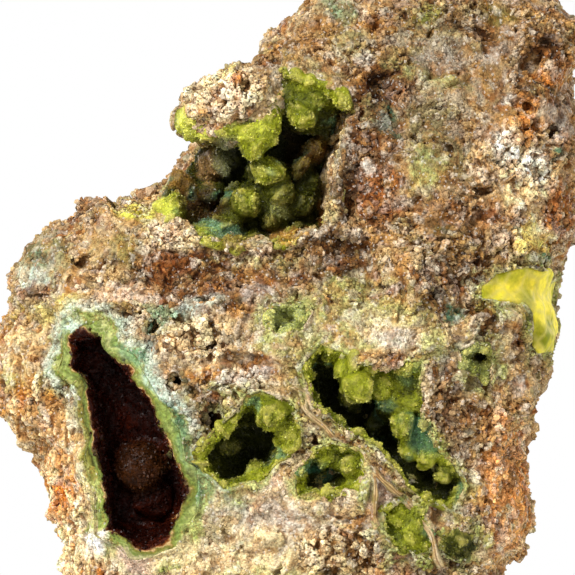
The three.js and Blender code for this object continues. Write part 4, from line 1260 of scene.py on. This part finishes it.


def rock_colours(mesh, margin):
    """The rock's colour at each vertex: grounds, zones, stains round the crusts and grains, with
    painted shade in its crevices, hollows and low places and painted highlights on the tops of its
    knobs.
    """
    points, face = places(mesh), normals(mesh)
    seen = facing_front(face)
    colours = patches(points, coat(points, "tan"), BROAD_PATCHES + SMALL_PATCHES)
    colours = zone_colours(points, colours, seen, ZONES)
    colours = blend(colours, patches(points, colours, SMALL_PATCHES), np.full(len(points), 0.6))
    left, strips = flow_strips(points)
    colours = painted(colours, (("cream", 0.7 * left * smoothstep(0.0, 0.35, strips)),
                                ("orange", 0.5 * left * smoothstep(-0.05, -0.4, strips))))

    ragged = margin + 1.1 * fractal(points, 1.9, 4, 70, 0.7)
    green = painted(coat(points, "pistachio"), (("leaf", clouds(points, -0.1, 0.4, 1.6, 2, 71)),
                                                ("bone", clouds(points, 0.0, 0.5, 1.9, 2, 72))))
    low_down = 0.35 + 0.65 * smoothstep(42, 36, points[:, 2])
    colours = blend(colours, green, 0.85 * low_down * smoothstep(1.9, 0.2, ragged))

    rim = (mouth_distance(points, DARK_MOUTH) - lip_width(points)
           + 1.1 * fractal(points, 2.4, 4, 73, 0.7))
    bloom = (points[:, 1] < 0) * seen
    on_lip = bloom * smoothstep(0.5, -0.3, rim)
    mottle = blend(coat(points, "leaf"), paint("pistachio"), clouds(points, -0.1, 0.4, 1.3, 3, 74))
    mottle = zone_colours(points, mottle, seen, LIP_STAINS)
    colours = blend(colours, mottle, 0.95 * on_lip)
    within = (mouth_distance(points, DARK_MOUTH) < -0.1) & (points[:, 1] < SPLIT_Y)
    colours = blend(colours, 0.5 * paint("maroon"), within)
    pale = smoothstep(-0.2, 0.3, rim) * smoothstep(1.6, 0.6, rim) * bloom
    high_side = smoothstep(18, 24, points[:, 2] + 0.6 * points[:, 0] + 12)
    colours = painted(colours, (("ice", 0.65 * pale * high_side),
                                ("bone", 0.5 * pale * (1 - high_side))))

    _, lump = knobs(points, 0.9, 82)
    for number, name in enumerate(("chalk", "lilac", "rust", "ochre")):
        chosen = np.abs(lump - 0.1 - 0.25 * number) < 0.06
        colours = blend(colours, paint(name), 0.3 * chosen * seen * (1 - on_lip))
    _, own = knobs(points, 0.5, 80)
    level = (0.8 + 0.45 * own) * toned(points, seen)
    colours = np.minimum(colours * level[:, None], BRIGHTEST)

    # Painted shade: crevices, hollows and low places are darkened, and the deepest go towards dark
    # umber, as if light could not reach them.
    stand, broad = bulge(mesh, 4), bulge(mesh, 24)
    rise = read_value(mesh, "rise")
    dark = np.maximum(0.9 * smoothstep(0.01, -0.08, stand), smoothstep(0.0, -0.35, broad))
    dark = np.maximum(dark, smoothstep(-0.3, -0.9, rise)) * smoothstep(-0.2, 0.3, margin)
    rough = read_value(mesh, "rough")
    colours = blend(colours, colours * IN_SHADOW, 0.95 * dark * (0.5 + 0.5 * rough))
    colours = blend(colours, paint("umber") * 0.5, 0.8 * smoothstep(0.6, 1.0, dark) * rough
                    * clouds(points, -0.1, 0.3, 2.0, 2, 88))
    # Painted highlight: the tops of small knobs are made paler and creamier.
    pale = colours * 1.15 + 0.06 * paint("cream")
    colours = blend(colours, pale, smoothstep(0.01, 0.1, stand) * smoothstep(0.1, 0.6, margin))
    set_colour(mesh, "tint", colours)
    set_value(mesh, "stand", stand)


def part_beyond(piece, name, cuts):
    """What is left of a closed piece after flat cuts, each closed by a wall of its own. A cut is
    an axis, a level in millimetres and the side that goes: 1 above the level, -1 below it."""
    shell = bmesh.new()
    shell.from_mesh(piece.data)
    margin = shell.verts.layers.float["margin"]
    for axis, level, side in cuts:
        facing = Vector([side if n == axis else 0.0 for n in range(3)])
        bmesh.ops.bisect_plane(shell, geom=shell.verts[:] + shell.edges[:] + shell.faces[:],
                               plane_co=facing * (side * level * MM), plane_no=facing,
                               clear_outer=True)
        rims = [edge for edge in shell.edges if edge.is_boundary]
        for edge in rims:
            edge.smooth = False
            for vertex in edge.verts:
                vertex[margin] = HIDDEN
        made = bmesh.ops.triangle_fill(shell, edges=rims, normal=facing)
        left = [edge for edge in rims if edge.is_boundary]
        if left:
            made["geom"] += bmesh.ops.holes_fill(shell, edges=left, sides=0)["faces"]
        for item in made["geom"]:
            if isinstance(item, bmesh.types.BMFace):
                item.smooth = False
    mesh = bpy.data.meshes.new(name)
    shell.to_mesh(mesh)
    shell.free()
    return new_piece(name, mesh)


def build_rock(rock):
    """The rock with clods standing on it, remeshed as one, roughened and painted."""
    ground = remeshed("rock", "ground", *GROUND_MESH)
    points = places(ground.data)
    room = distance_to(points, OTHER_NODES)
    tree = strewing("clods", 2, 0.9, True)
    clods = strew("clods", ground, clod_mask(points, room), tree, rock.clods,
                  (rock.clod_least, rock.clod_most), lift=-0.25, seed=3)
    piece = solid_copy("rock", "rock_surface")
    parts = [clods]
    for node in OTHER_NODES:
        filling = solid_copy(node, node + "_filling")
        swell = filling.modifiers.new("Swell", "DISPLACE")
        swell.strength, swell.mid_level = 0.2 * MM, 0.0
        parts.append(made_plain(filling))
    join_meshes(piece, parts)
    bpy.data.objects.remove(ground)
    add_remesh(piece, rock.fineness, ROCK_SOFTENING)
    made_plain(piece)

    points = places(piece.data)
    margin = margin_of(points, distance_to(points, OTHER_NODES))
    rock_form(piece.data, margin, rock.relief)
    rock_colours(piece.data, margin)
    set_value(piece.data, "margin", margin)
    set_places(piece.data, wander(places(piece.data)))

    shade_smooth(piece)
    finish = crumbly_rock()
    for name, cuts, share, *_ in ROCK_PARTS:
        part = part_beyond(piece, name, cuts)
        triangles = triangle_count(part.data)
        most = rock.triangles * share
        if triangles > most:
            thin = part.modifiers.new("Thinning", "DECIMATE")
            thin.ratio = most / triangles
            made_plain(part)
        finish_piece(part, finish, "rock", "rock")
    bpy.data.objects.remove(piece)


def build_grains(rock):
    """Loose grains over each part of the rock."""
    tree = strewing("grains", *GRAIN_SHAPE)
    # Gaps here is the strength of the painted shade in the grains' pores.
    finish = tinted_finish("loose_grain", 0.12, SPECKLE, (0.7, 0.06), shade=(0.65, 1.35),
                           Grains_per_metre=5200.0, Contrast=0.6, Quartz=0.03, Gaps=0.4)
    for name, _, _, most, seed, coarse in ROCK_PARTS:
        ground = bpy.data.objects[name]
        points = places(ground.data)
        margin, stand = read_value(ground.data, "margin"), read_value(ground.data, "stand")
        mask = 0.15 + 0.85 * clouds(points, -0.3, 0.3, 3.2, 2, 90)
        mask *= smoothstep(0.1, 0.5, margin) * smoothstep(0.9, 1.6, points[:, 2])
        mask *= smoothstep(-0.12, 0.02, stand) * (1 - 0.7 * flow_strips(points)[0])
        mask *= 0.35 + 0.65 * read_value(ground.data, "rough")
        mask = off_sheets(points, mask, 0.6, 1.1)
        sizes = (rock.grain_least * coarse, rock.grain_most * coarse)
        piece = strew(name.replace("rock", "grains"), ground, mask, tree,
                      int(rock.grains * most), sizes, 0.0, seed, finish)
        finish_piece(piece, finish, "rock")


# ---- The crusts ----------------------------------------------------------------------------------
FAR_IN_FRONT = -40.0
INWARD = Vector((0.0, 1.0, 0.0))
BALL_DEPTH, BALL_WOBBLE = 0.35, 0.06  # how far a ball sits in and how uneven it is, by its radius


def front_hit(tree, x, z):
    """Where a straight look into the front first meets a solid, or nothing."""
    return tree.ray_cast(Vector((x, FAR_IN_FRONT, z)), INWARD)[0]


def add_balls(mesh, balls, tree, front):
    """Adds round balls to a crust's mesh, each resting on what lies behind its place."""
    shell = bmesh.new()
    shell.from_mesh(mesh)
    for number, (x, z, radius) in enumerate(balls):
        hit = front_hit(tree, x, z)
        if hit is None:
            hit = tree.find_nearest(Vector((x, front, z)))[0]
            x, z = hit.x, hit.z
        made = bmesh.ops.create_icosphere(shell, subdivisions=3, radius=radius * MM)
        middle = Vector((x, hit.y + BALL_DEPTH * radius, z)) * MM
        for vertex in made["verts"]:
            wobble = 1 + BALL_WOBBLE * math.sin(9 * vertex.co.x / (radius * MM) + number)
            vertex.co = vertex.co * wobble + middle
    shell.to_mesh(mesh)
    shell.free()


def towards(points, face, focus, low=-0.25, high=0.3):
    """1 where a surface looks at a point in front of its hollow, and 0 where it looks away."""
    ray = np.array(focus) - points
    ray /= np.linalg.norm(ray, axis=1, keepdims=True)
    return smoothstep(low, high, np.einsum("ij,ij->i", face, ray))


def build_green_crusts(crust):
    """Every green crust, all in one finish."""
    finish = tinted_finish("green_crust", 0.14, SPARKLE, (0.8, 0.08),
                           (0.5, (1.0, 0.95, 0.15), 0.8), rougher=0.15,
                           Facets_per_metre=5200.0, Contrast=0.45)
    for node in GREEN_CRUSTS:
        build_green_crust(node, crust, finish)


def build_green_crust(node, crust, finish):
    """A crust's skin: its balls and beads run together, roughened and painted, with painted shade
    in its depths and creases and a painted highlight on its near lumps.
    """
    looks = GREEN_CRUSTS[node]
    base = remeshed(node, node + "_base", *BASE_MESH)
    points, face = places(base.data), normals(base.data)
    mask = towards(points, face, looks["focus"])
    mask *= 0.3 + 0.7 * clouds(points, -0.3, 0.2, 2.6, 2, 44)
    mask *= 1 - overgrown(points)
    tree = strewing("beads", 2, 0.35, True)
    area = sum(polygon.area for polygon in base.data.polygons) / MM ** 2
    beads = strew(node + "_beads", base, mask, tree, int(crust.beads * area),
                  (crust.bead_least, crust.bead_most), lift=-0.1, seed=5)
    piece = solid_copy(node, node + "_skin")
    add_balls(piece.data, looks["balls"], tree_of(node), looks["face"])
    join_meshes(piece, [beads])
    bpy.data.objects.remove(base)
    add_remesh(piece, crust.fineness, CRUST_SOFTENING)
    made_plain(piece)

    mesh = piece.data
    creases = np.minimum(0, bulge(mesh, 60))
    set_places(mesh, places(mesh) - normals(mesh) * creases[:, None])
    points, face = places(mesh), normals(mesh)
    open_side = towards(points, face, looks["focus"])
    cell, own = knobs(points, 0.95, 6)
    fine_cell, fine_own = knobs(points, 0.42, 16)
    rise = crust.relief * (0.2 * dome(cell) * own + 0.18 * dome(fine_cell) * fine_own - 0.1)
    rise += 0.5 * fractal(points, 2.0, 4, 4, 0.65)
    near_rock = distance_to(points, ("rock",), 1.1)
    brink = smoothstep(1.0, 0.25, near_rock)
    rise -= 0.45 * brink * smoothstep(0.2, 0.7, -face[:, 1]) + 0.3 * smoothstep(0.6, 0.1, near_rock)
    sunk = overgrown(points)
    points = points + face * ((rise - 0.6 * sunk) * open_side)[:, None]
    points[:, 1] += 0.9 * sunk
    set_places(mesh, points)

    # Painted shade: the deeper into its hollow, the more the crust turns to its far colour and then
    # to pine.
    depth = (points[:, 1] - looks["face"]) / looks["depth"]
    ragged = depth + 0.22 * fractal(points, 1.8, 2, 46)
    colours = painted(coat(points, looks["near"]), (
        ("grass", 0.8 * clouds(points, -0.1, 0.35, 3.0, 3, 41)),
        (looks["far"], smoothstep(0.0, 0.42, ragged)),
        ("pine", 0.85 * smoothstep(0.25, 0.8, ragged)),
        ("sea", 0.5 * clouds(points, 0.4, 0.65, 2.8, 2, 47))))
    colours = zone_colours(points, colours, np.ones(len(points)), CRUST_STAINS)
    stand, broad = bulge(mesh, 6), bulge(mesh, 40)
    # Painted shade: the crust darkens towards pine in its creases and hollows.
    crease_shade = np.maximum(smoothstep(0.0, -0.12, stand), smoothstep(0.0, -0.4, broad))
    # Painted highlight: straw on the lumps that bulge out near the front of the hollow.
    bright = 0.5 * smoothstep(0.05, 0.35, broad) * smoothstep(0.7, 0.1, ragged)
    colours = painted(colours, (("pine", 0.7 * crease_shade), ("straw", bright)))
    frost = brink * clouds(points, -0.1, 0.3, 1.9, 3, 48, 0.7)
    rocky = blend(coat(points, "tan"), paint("pistachio"), clouds(points, -0.2, 0.2, 1.1, 3, 49))
    colours = blend(colours, rocky * (0.6 + 0.7 * fine_own)[:, None], 0.85 * frost)
    colours = colours * (0.78 + 0.3 * own)[:, None]
    set_colour(mesh, "tint", colours)
    set_value(mesh, "open", open_side)
    set_value(mesh, "brink", brink * open_side)
    set_places(mesh, wander(points))
    shade_smooth(piece)
    finish_piece(piece, finish, "green_crust", node)


def build_dark_pocket(crust):
    """The banded lip and the brown druse of the pocket on the left."""
    node = "dark_pocket_crust"
    piece = remeshed(node, node + "_skin", crust.fineness * 1.15, DARK_SOFTENING)
    mesh = piece.data
    points, face = places(mesh), normals(mesh)
    open_side = towards(points, face, DARK_FOCUS, -0.2, 0.25)
    rim = mouth_distance(points, DARK_MOUTH)
    within = smoothstep(0.4, -0.2, rim)
    cell, own = knobs(points, 0.75, 8)
    fine, fine_own = knobs(points, 0.4, 18)
    rise = within * (0.24 * dome(cell) * own + 0.14 * dome(fine) * fine_own)
    crumb, crumb_own = knobs(points, 0.5, 28)
    lip = (1 - within) * (0.45 * fractal(points, 2.0, 4, 19, 0.7) + 0.2 * dome(cell) * own
                          + 0.12 * dome(crumb) * crumb_own)
    rise -= 0.45 * smoothstep(2.8, 1.0, oval(points, *LOW_BOSS)) * within
    points = points + face * ((rise + lip) * open_side)[:, None]
    rim = rim + 0.5 * fractal(points * (1, 0.3, 1), 1.5, 3, 20, 0.7)
    set_places(mesh, points)
    deep = smoothstep(0.15, 1.0, (points[:, 1] - DARK_START) / DARK_FADE)
    deep *= smoothstep(0.35, -0.1, rim)
    wall = smoothstep(0.3, -0.05, rim)
    colours = blend(0.5 * coat(points, "maroon"), paint("maroon") * 1.5,
                    clouds(points, -0.1, 0.5, 2.4, 3, 52))
    colours = blend(colours, paint("chestnut") * 0.25,
                    0.8 * smoothstep(1.15, 0.6, oval(points, *HIGH_BOSS)))
    rock = patches(points, coat(points, "fern"), LIP_PATCHES)
    stain = np.full(len(points), 0.35)
    for name, share in zone_shares(points, np.ones(len(points)), LIP_STAINS):
        rock = blend(rock, paint(name), share)
        stain = np.maximum(stain, share)
    stain *= 0.45 + 0.55 * clouds(points, -0.25, 0.1, 1.2, 3, 92, 0.7)
    set_value(mesh, "stain", stain)
    colours = blend(colours * (0.7 + 0.6 * own)[:, None],
                    rock * (0.6 + 0.6 * crumb_own)[:, None], smoothstep(0.4, 0.9, rim))
    set_colour(mesh, "tint", colours)
    set_value(mesh, "rim", np.where(rim > 0, 2 * rim / lip_width(points), rim))
    set_value(mesh, "depth", np.maximum(wall, deep))
    set_value(mesh, "open", open_side * within)
    set_places(mesh, wander(points))
    shade_smooth(piece)
    finish_piece(piece, dark_pocket_finish(), "banded_crust", node)


def strew_crust(name, node, mask, tree, density, sizes, finish, slot, lift, seed):
    """Small shapes over a crust's skin: about that many for each square mm of the full mask."""
    ground = bpy.data.objects[node + "_skin"]
    set_value(ground.data, "mask", mask)
    count = int(density * mask_area(ground.data) / MM ** 2)
    piece = strew(name, ground, mask, tree, count, sizes, lift, seed, finish)
    finish_piece(piece, finish, slot)
    ground.data.attributes.remove(ground.data.attributes["mask"])


def build_crystals(crust):
    """Small bright crystals on every crust, and loose grains on the brinks of the green ones."""
    tree, rubble = strewing("crystals", "pyramids", 0.25, False), strewing("grains", *GRAIN_SHAPE)
    green = crystal_finish("green_crystal", (0.8, 2.0), 0.4, 0.35)
    brown = crystal_finish("brown_crystal", (0.5, 2.0), 0.0, 0.15)
    dust = bpy.data.materials["loose_grain"]
    least, most = crust.crystal_least, crust.crystal_most
    for node in GREEN_CRUSTS:
        mesh = bpy.data.objects[node + "_skin"].data
        points = places(mesh)
        mask = read_value(mesh, "open") * (0.3 + 0.7 * clouds(points, -0.2, 0.3, 1.6, 2, 61))
        strew_crust(node + "_crystals", node, mask, tree, crust.crystals, (least, most),
                    green, "green_crust", lift=0.4, seed=23)
        mask = read_value(mesh, "brink") * clouds(points, -0.3, 0.2, 1.4, 2, 91)
        strew_crust(node + "_crumbs", node, mask, rubble, crust.crumbs, CRUMB_SIZES,
                    dust, "rock", lift=0.0, seed=31)
    mask = read_value(bpy.data.objects["dark_pocket_crust_skin"].data, "open")
    strew_crust("dark_pocket_druse", "dark_pocket_crust", mask, tree, 0.6 * crust.crystals,
                (least, 1.3 * most), brown, "banded_crust", lift=0.4, seed=29)


def build_vein():
    """The smooth yellow vein in the right edge."""
    piece = remeshed("yellow_vein", "yellow_vein_skin", *VEIN_MESH)
    points, face = places(piece.data), normals(piece.data)
    rise = 0.16 + 0.3 * fractal(points, 3.4, 2, 55) + 0.07 * fractal(points, 0.9, 2, 56)
    rise -= 0.6 * smoothstep(-7, 1, points[:, 1])
    set_places(piece.data, wander(points + face * rise[:, None]))
    shade_smooth(piece)
    finish_piece(piece, waxy_yellow(), "yellow_vein", "yellow_vein")


# The thin sheets, in millimetres: corners in a cross section, the spacing of the sections and how
# far they go in, the rounds that smooth the line and its depth, where the front lies where
# nothing is hit, how far the sheets stand clear of it and the length of their tapering ends.
ACROSS, STEP, REACH_IN = 11, 0.22, 0.9
LINE_ROUNDS, DEPTH_ROUNDS = 8, 12
FRONT_LEVEL, CLEARANCE, TAPER = -15.0, 0.35, 1.5


def ridge_profile(share):
    """Height of a thin sheet's double ridge across its width, from -1 to 1."""
    return 0.55 * math.exp(-((share + 0.45) / 0.3) ** 2) + 0.75 * math.exp(
        -((share - 0.4) / 0.33) ** 2) - 0.5 * abs(share) ** 3


def build_sheets(sheet):
    """The thin tan sheets: a double ridge along each line, laid on the rock."""
    trees = [tree_of(node) for node in ("rock", "lower_patch_crust", "lower_edge_crust")]
    shell = bmesh.new()
    for number, line in enumerate(SEPTA):
        corners = np.array(line, dtype=float)
        spans = np.linalg.norm(np.diff(corners, axis=0), axis=1)
        way = np.concatenate([[0], np.cumsum(spans)])
        stations = np.arange(0, way[-1], STEP)
        middle = np.stack([np.interp(stations, way, corners[:, n]) for n in (0, 1)], axis=1)
        for _ in range(LINE_ROUNDS):
            middle[1:-1] = 0.5 * middle[1:-1] + 0.25 * (middle[:-2] + middle[2:])
        heading = np.gradient(middle, axis=0)
        heading /= np.linalg.norm(heading, axis=1, keepdims=True)
        side = np.stack([-heading[:, 1], heading[:, 0]], axis=1)
        depths = []
        for x, z in middle:
            hits = [front_hit(tree, x, z) for tree in trees]
            depths.append(min([hit.y for hit in hits if hit], default=FRONT_LEVEL))
        depths = np.array(depths) - CLEARANCE
        for _ in range(DEPTH_ROUNDS):
            depths[1:-1] = 0.4 * depths[1:-1] + 0.3 * (depths[:-2] + depths[2:])
        rows = []
        for i, (x, z) in enumerate(middle):
            spot = np.array([[x, 0.0, z]])
            width = sheet.width * (1 - 0.3 * number) * (0.85 + 0.4 * noise(spot, 1.3, 3)[0])
            to_end = min(i, len(middle) - 1 - i)
            taper = min(1.0, to_end * STEP / TAPER) ** 0.5
            row = []
            for j in range(ACROSS):
                share = 2 * j / (ACROSS - 1) - 1
                here = np.array([[x + side[i, 0] * share * width, 0.0,
                                  z + side[i, 1] * share * width]])
                rough = 0.18 * fractal(here, 0.8, 3, 5)[0]
                height = (sheet.height * ridge_profile(share) + rough) * taper - 0.1
                where = Vector((here[0, 0], depths[i] - height, here[0, 2])) * MM
                row.append(shell.verts.new(where))
            first, inner = row[0].co / MM, depths[i] + REACH_IN
            row.append(shell.verts.new(Vector((here[0, 0], inner, here[0, 2])) * MM))
            row.append(shell.verts.new(Vector((first.x, inner, first.z)) * MM))
            rows.append(row)
        for one, two in zip(rows, rows[1:]):
            for j in range(len(one)):
                k = (j + 1) % len(one)
                shell.faces.new((one[j], one[k], two[k], two[j]))
        shell.faces.new(rows[0][::-1])
        shell.faces.new(rows[-1])
    bmesh.ops.recalc_face_normals(shell, faces=shell.faces)
    mesh = bpy.data.meshes.new("thin_sheets")
    shell.to_mesh(mesh)
    shell.free()
    piece = new_piece("thin_sheets", mesh)
    points = places(mesh)
    share = np.tile(np.append(np.linspace(-1, 1, ACROSS), (1, -1)), len(points) // (ACROSS + 2))
    groove = 0.7 * smoothstep(0.22, 0.08, np.abs(share + 0.05))
    colours = painted(coat(points, "sand"), (
        ("bone", clouds(points, -0.2, 0.4, 1.2, 3, 57)),
        ("tan", clouds(points, 0.1, 0.5, 0.9, 2, 58)),
        ("olive", 0.7 * clouds(points, 0.0, 0.4, 1.6, 3, 93)),
        ("chestnut", groove * clouds(points, -0.4, 0.1, 2.0, 2, 94)),
        ("olive", 0.6 * smoothstep(0.7, 1.0, np.abs(share)))))
    set_colour(mesh, "tint", colours)
    set_places(mesh, wander(points))
    shade_smooth(piece)
    # Gaps here is the strength of the painted shade in the sheets' pores.
    finish = tinted_finish("thin_sheet", 0.25, SPECKLE, (0.6, 0.06), Grains_per_metre=5200.0,
                           Contrast=0.35, Quartz=0.03, Gaps=0.25)
    finish_piece(piece, finish, "rock")


# ---- The stage -----------------------------------------------------------------------------------
FLOOR_LEVEL, FLOOR_CORNERS = -0.05, 64
SENSOR = 36.0
AIM = (0, -10, 36)  # what the lights look at


def area_light(name, where, size, power):
    """A soft square light, its place and size in millimetres and its power in watts."""
    light = bpy.data.lights.new(name, "AREA")
    light.size = size * MM
    light.energy = power
    lamp = bpy.data.objects.new(name, light)
    lamp.location = Vector(where) * MM
    lamp.rotation_euler = (Vector(AIM) * MM - lamp.location).to_track_quat("-Z", "Y").to_euler()
    bpy.context.scene.collection.objects.link(lamp)


def build_stage(stage):
    """A pale floor, a white surround, soft lights and the camera."""
    reach = stage.floor_radius
    corners = [(reach * math.cos(a), reach * math.sin(a), FLOOR_LEVEL * MM)
               for a in np.linspace(0, math.tau, FLOOR_CORNERS, endpoint=False)]
    mesh = bpy.data.meshes.new("floor")
    mesh.from_pydata(corners, [], [tuple(range(FLOOR_CORNERS))])
    floor = new_piece("floor", mesh)
    mesh.materials.append(plain_pale())

    scene = bpy.context.scene
    world = scene.world or bpy.data.worlds.new("surround")
    scene.world = world
    world.use_nodes = True
    tree = world.node_tree
    tree.nodes.clear()
    straight = add_node(tree, "ShaderNodeLightPath").outputs["Is Camera Ray"]
    glow = add_node(tree, "ShaderNodeBackground",
                    {"Color": (1.0, 0.99, 0.97, 1), "Strength": stage.surround})
    white = add_node(tree, "ShaderNodeBackground", {"Color": (1, 1, 1, 1), "Strength": 1.0})
    mixed = add_node(tree, "ShaderNodeMixShader",
                     {0: straight, 1: glow.outputs[0], 2: white.outputs[0]})
    add_node(tree, "ShaderNodeOutputWorld", {"Surface": mixed.outputs[0]})
    area_light("key", (-190, -300, 270), 150, stage.key)
    area_light("fill", (240, -330, 60), 260, stage.fill)
    area_light("left_rim", (-260, 190, 120), 200, stage.rim)
    area_light("right_rim", (260, 200, 160), 200, stage.rim)

    camera = bpy.data.cameras.new("camera")
    camera.sensor_width = SENSOR
    camera.lens = SENSOR * stage.distance / stage.field
    camera.clip_start, camera.clip_end = 0.01, 50.0
    holder = bpy.data.objects.new("camera", camera)
    holder.location = (stage.middle[0], -stage.distance, stage.middle[1])
    holder.rotation_euler = (math.radians(90), 0, 0)
    scene.collection.objects.link(holder)
    scene.camera = holder
    scene.view_settings.view_transform = "Standard"


# ---- Settings, operators and panel ---------------------------------------------------------------
def setting(name, description, default, **more):
    """A setting of one or more numbers, whole where its default is."""
    kind = {int: bpy.props.IntProperty, float: bpy.props.FloatProperty,
            tuple: bpy.props.FloatVectorProperty}[type(default)]
    return kind(name=name, description=description, default=default, **more)


class SpecimenRock(bpy.types.PropertyGroup):
    """Sizes of the rock and of its loose grains."""
    fineness: setting("Fineness", "Voxel size of the rock's mesh in mm", 0.19, min=0.15)
    triangles: setting("Triangles", "The most triangles each part of the rock keeps", 194000)
    relief: setting("Relief", "Strength of the rock's lumps and pits", 1.0)
    clods: setting("Clods", "Number of clods that stand on the rock", 4200)
    clod_least: setting("Smallest clod", "Radius of the smallest clods in mm", 0.35)
    clod_most: setting("Largest clod", "Radius of the largest clods in mm", 1.5)
    grains: setting("Grains", "Number of loose grains in each piece", 9300)
    grain_least: setting("Smallest grain", "Radius of the smallest grains in mm", 0.08)
    grain_most: setting("Largest grain", "Radius of the largest grains in mm", 0.36)


class SpecimenCrusts(bpy.types.PropertyGroup):
    """Sizes of the crusts, their balls and their crystals, and of the thin sheets."""
    fineness: setting("Fineness", "Voxel size of the crusts' meshes in mm", 0.19)
    relief: setting("Relief", "Strength of the knobs on the crusts", 1.0)
    beads: setting("Beads", "Small balls for each square mm of crust", 0.28)
    bead_least: setting("Smallest bead", "Radius of the smallest beads in mm", 0.4)
    bead_most: setting("Largest bead", "Radius of the largest beads in mm", 1.05)
    crystals: setting("Crystals", "Small crystals for each square mm of open crust", 20.0)
    crystal_least: setting("Smallest crystal", "Radius of the smallest crystals in mm", 0.06)
    crystal_most: setting("Largest crystal", "Radius of the largest crystals in mm", 0.2)
    crumbs: setting("Crumbs", "Loose grains for each square mm of a crust's brink", 18.0)
    width: setting("Sheet width", "Half the width of a thin sheet in mm", 0.55)
    height: setting("Sheet height", "How far a thin sheet stands out in mm", 0.5)


class SpecimenStage(bpy.types.PropertyGroup):
    """The floor, the light and the camera."""
    floor_radius: setting("Floor radius", "Radius of the floor", 0.2, unit="LENGTH")
    surround: setting("Surround", "Strength of the white surround", 0.3)
    key: setting("Key", "Power of the main light", 2.3, unit="POWER")
    fill: setting("Fill", "Power of the light on the right", 0.35, unit="POWER")
    rim: setting("Rim", "Power of each light behind", 0.8, unit="POWER")
    distance: setting("Distance", "From the camera to the specimen", 1.5, unit="LENGTH")
    field: setting("Field", "Width of the view", 0.06325, unit="LENGTH")
    middle: setting("Middle", "Across and height of the view's middle", (-0.0001, 0.03658),
                    size=2, unit="LENGTH")


class SPECIMEN_OT_rock(bpy.types.Operator):
    """Build the rock with its clods, pits and stains"""
    bl_idname = "specimen.rock"
    bl_label = "Rock"

    def execute(self, context):
        build_rock(context.scene.specimen_rock)
        return {"FINISHED"}


class SPECIMEN_OT_grains(bpy.types.Operator):
    """Strew loose grains over the rock"""
    bl_idname = "specimen.grains"
    bl_label = "Loose grains"

    def execute(self, context):
        build_grains(context.scene.specimen_rock)
        return {"FINISHED"}


class SPECIMEN_OT_green_crusts(bpy.types.Operator):
    """Build the green crusts with their balls and beads"""
    bl_idname = "specimen.green_crusts"
    bl_label = "Green crusts"

    def execute(self, context):
        build_green_crusts(context.scene.specimen_crusts)
        return {"FINISHED"}


class SPECIMEN_OT_dark_pocket(bpy.types.Operator):
    """Build the banded lip and the brown lining of the dark pocket"""
    bl_idname = "specimen.dark_pocket"
    bl_label = "Dark pocket"

    def execute(self, context):
        build_dark_pocket(context.scene.specimen_crusts)
        return {"FINISHED"}


class SPECIMEN_OT_crystals(bpy.types.Operator):
    """Strew small crystals over the crusts"""
    bl_idname = "specimen.crystals"
    bl_label = "Crystals"

    def execute(self, context):
        build_crystals(context.scene.specimen_crusts)
        return {"FINISHED"}


class SPECIMEN_OT_vein(bpy.types.Operator):
    """Build the yellow vein in the right edge"""
    bl_idname = "specimen.vein"
    bl_label = "Yellow vein"

    def execute(self, context):
        build_vein()
        return {"FINISHED"}


class SPECIMEN_OT_thin_sheets(bpy.types.Operator):
    """Build the thin tan sheets between the hollows"""
    bl_idname = "specimen.thin_sheets"
    bl_label = "Thin sheets"

    def execute(self, context):
        build_sheets(context.scene.specimen_crusts)
        return {"FINISHED"}


class SPECIMEN_OT_stage(bpy.types.Operator):
    """Lay the floor, set the lights and place the camera"""
    bl_idname = "specimen.stage"
    bl_label = "Stage"

    def execute(self, context):
        build_stage(context.scene.specimen_stage)
        return {"FINISHED"}


OPERATORS = (
    SPECIMEN_OT_stage, SPECIMEN_OT_rock, SPECIMEN_OT_grains, SPECIMEN_OT_green_crusts,
    SPECIMEN_OT_dark_pocket, SPECIMEN_OT_crystals, SPECIMEN_OT_vein, SPECIMEN_OT_thin_sheets,
)


class SPECIMEN_PT_panel(bpy.types.Panel):
    """Lists the specimen's pieces and settings"""
    bl_label = "Variscite Specimen"
    bl_idname = "SPECIMEN_PT_panel"
    bl_space_type = "VIEW_3D"
    bl_region_type = "UI"
    bl_category = "Specimen"

    def draw(self, context):
        for group in (getattr(context.scene, name) for name in SETTINGS):
            box = self.layout.box()
            for name in group.bl_rna.properties.keys():
                if name not in ("rna_type", "name"):
                    box.prop(group, name)
        for operator in OPERATORS:
            self.layout.operator(operator.bl_idname)


SETTINGS = {"specimen_rock": SpecimenRock, "specimen_crusts": SpecimenCrusts,
            "specimen_stage": SpecimenStage}
CLASSES = (*SETTINGS.values(), *OPERATORS, SPECIMEN_PT_panel)


def register():
    for entry in CLASSES:
        bpy.utils.register_class(entry)
    for name, group in SETTINGS.items():
        setattr(bpy.types.Scene, name, bpy.props.PointerProperty(type=group))


def unregister():
    for name in SETTINGS:
        delattr(bpy.types.Scene, name)
    for entry in reversed(CLASSES):
        bpy.utils.unregister_class(entry)


def main():
    register()
    for operator in OPERATORS:
        _, name = operator.bl_idname.split(".")
        getattr(bpy.ops.specimen, name)()


if __name__ == "__main__":
    main()
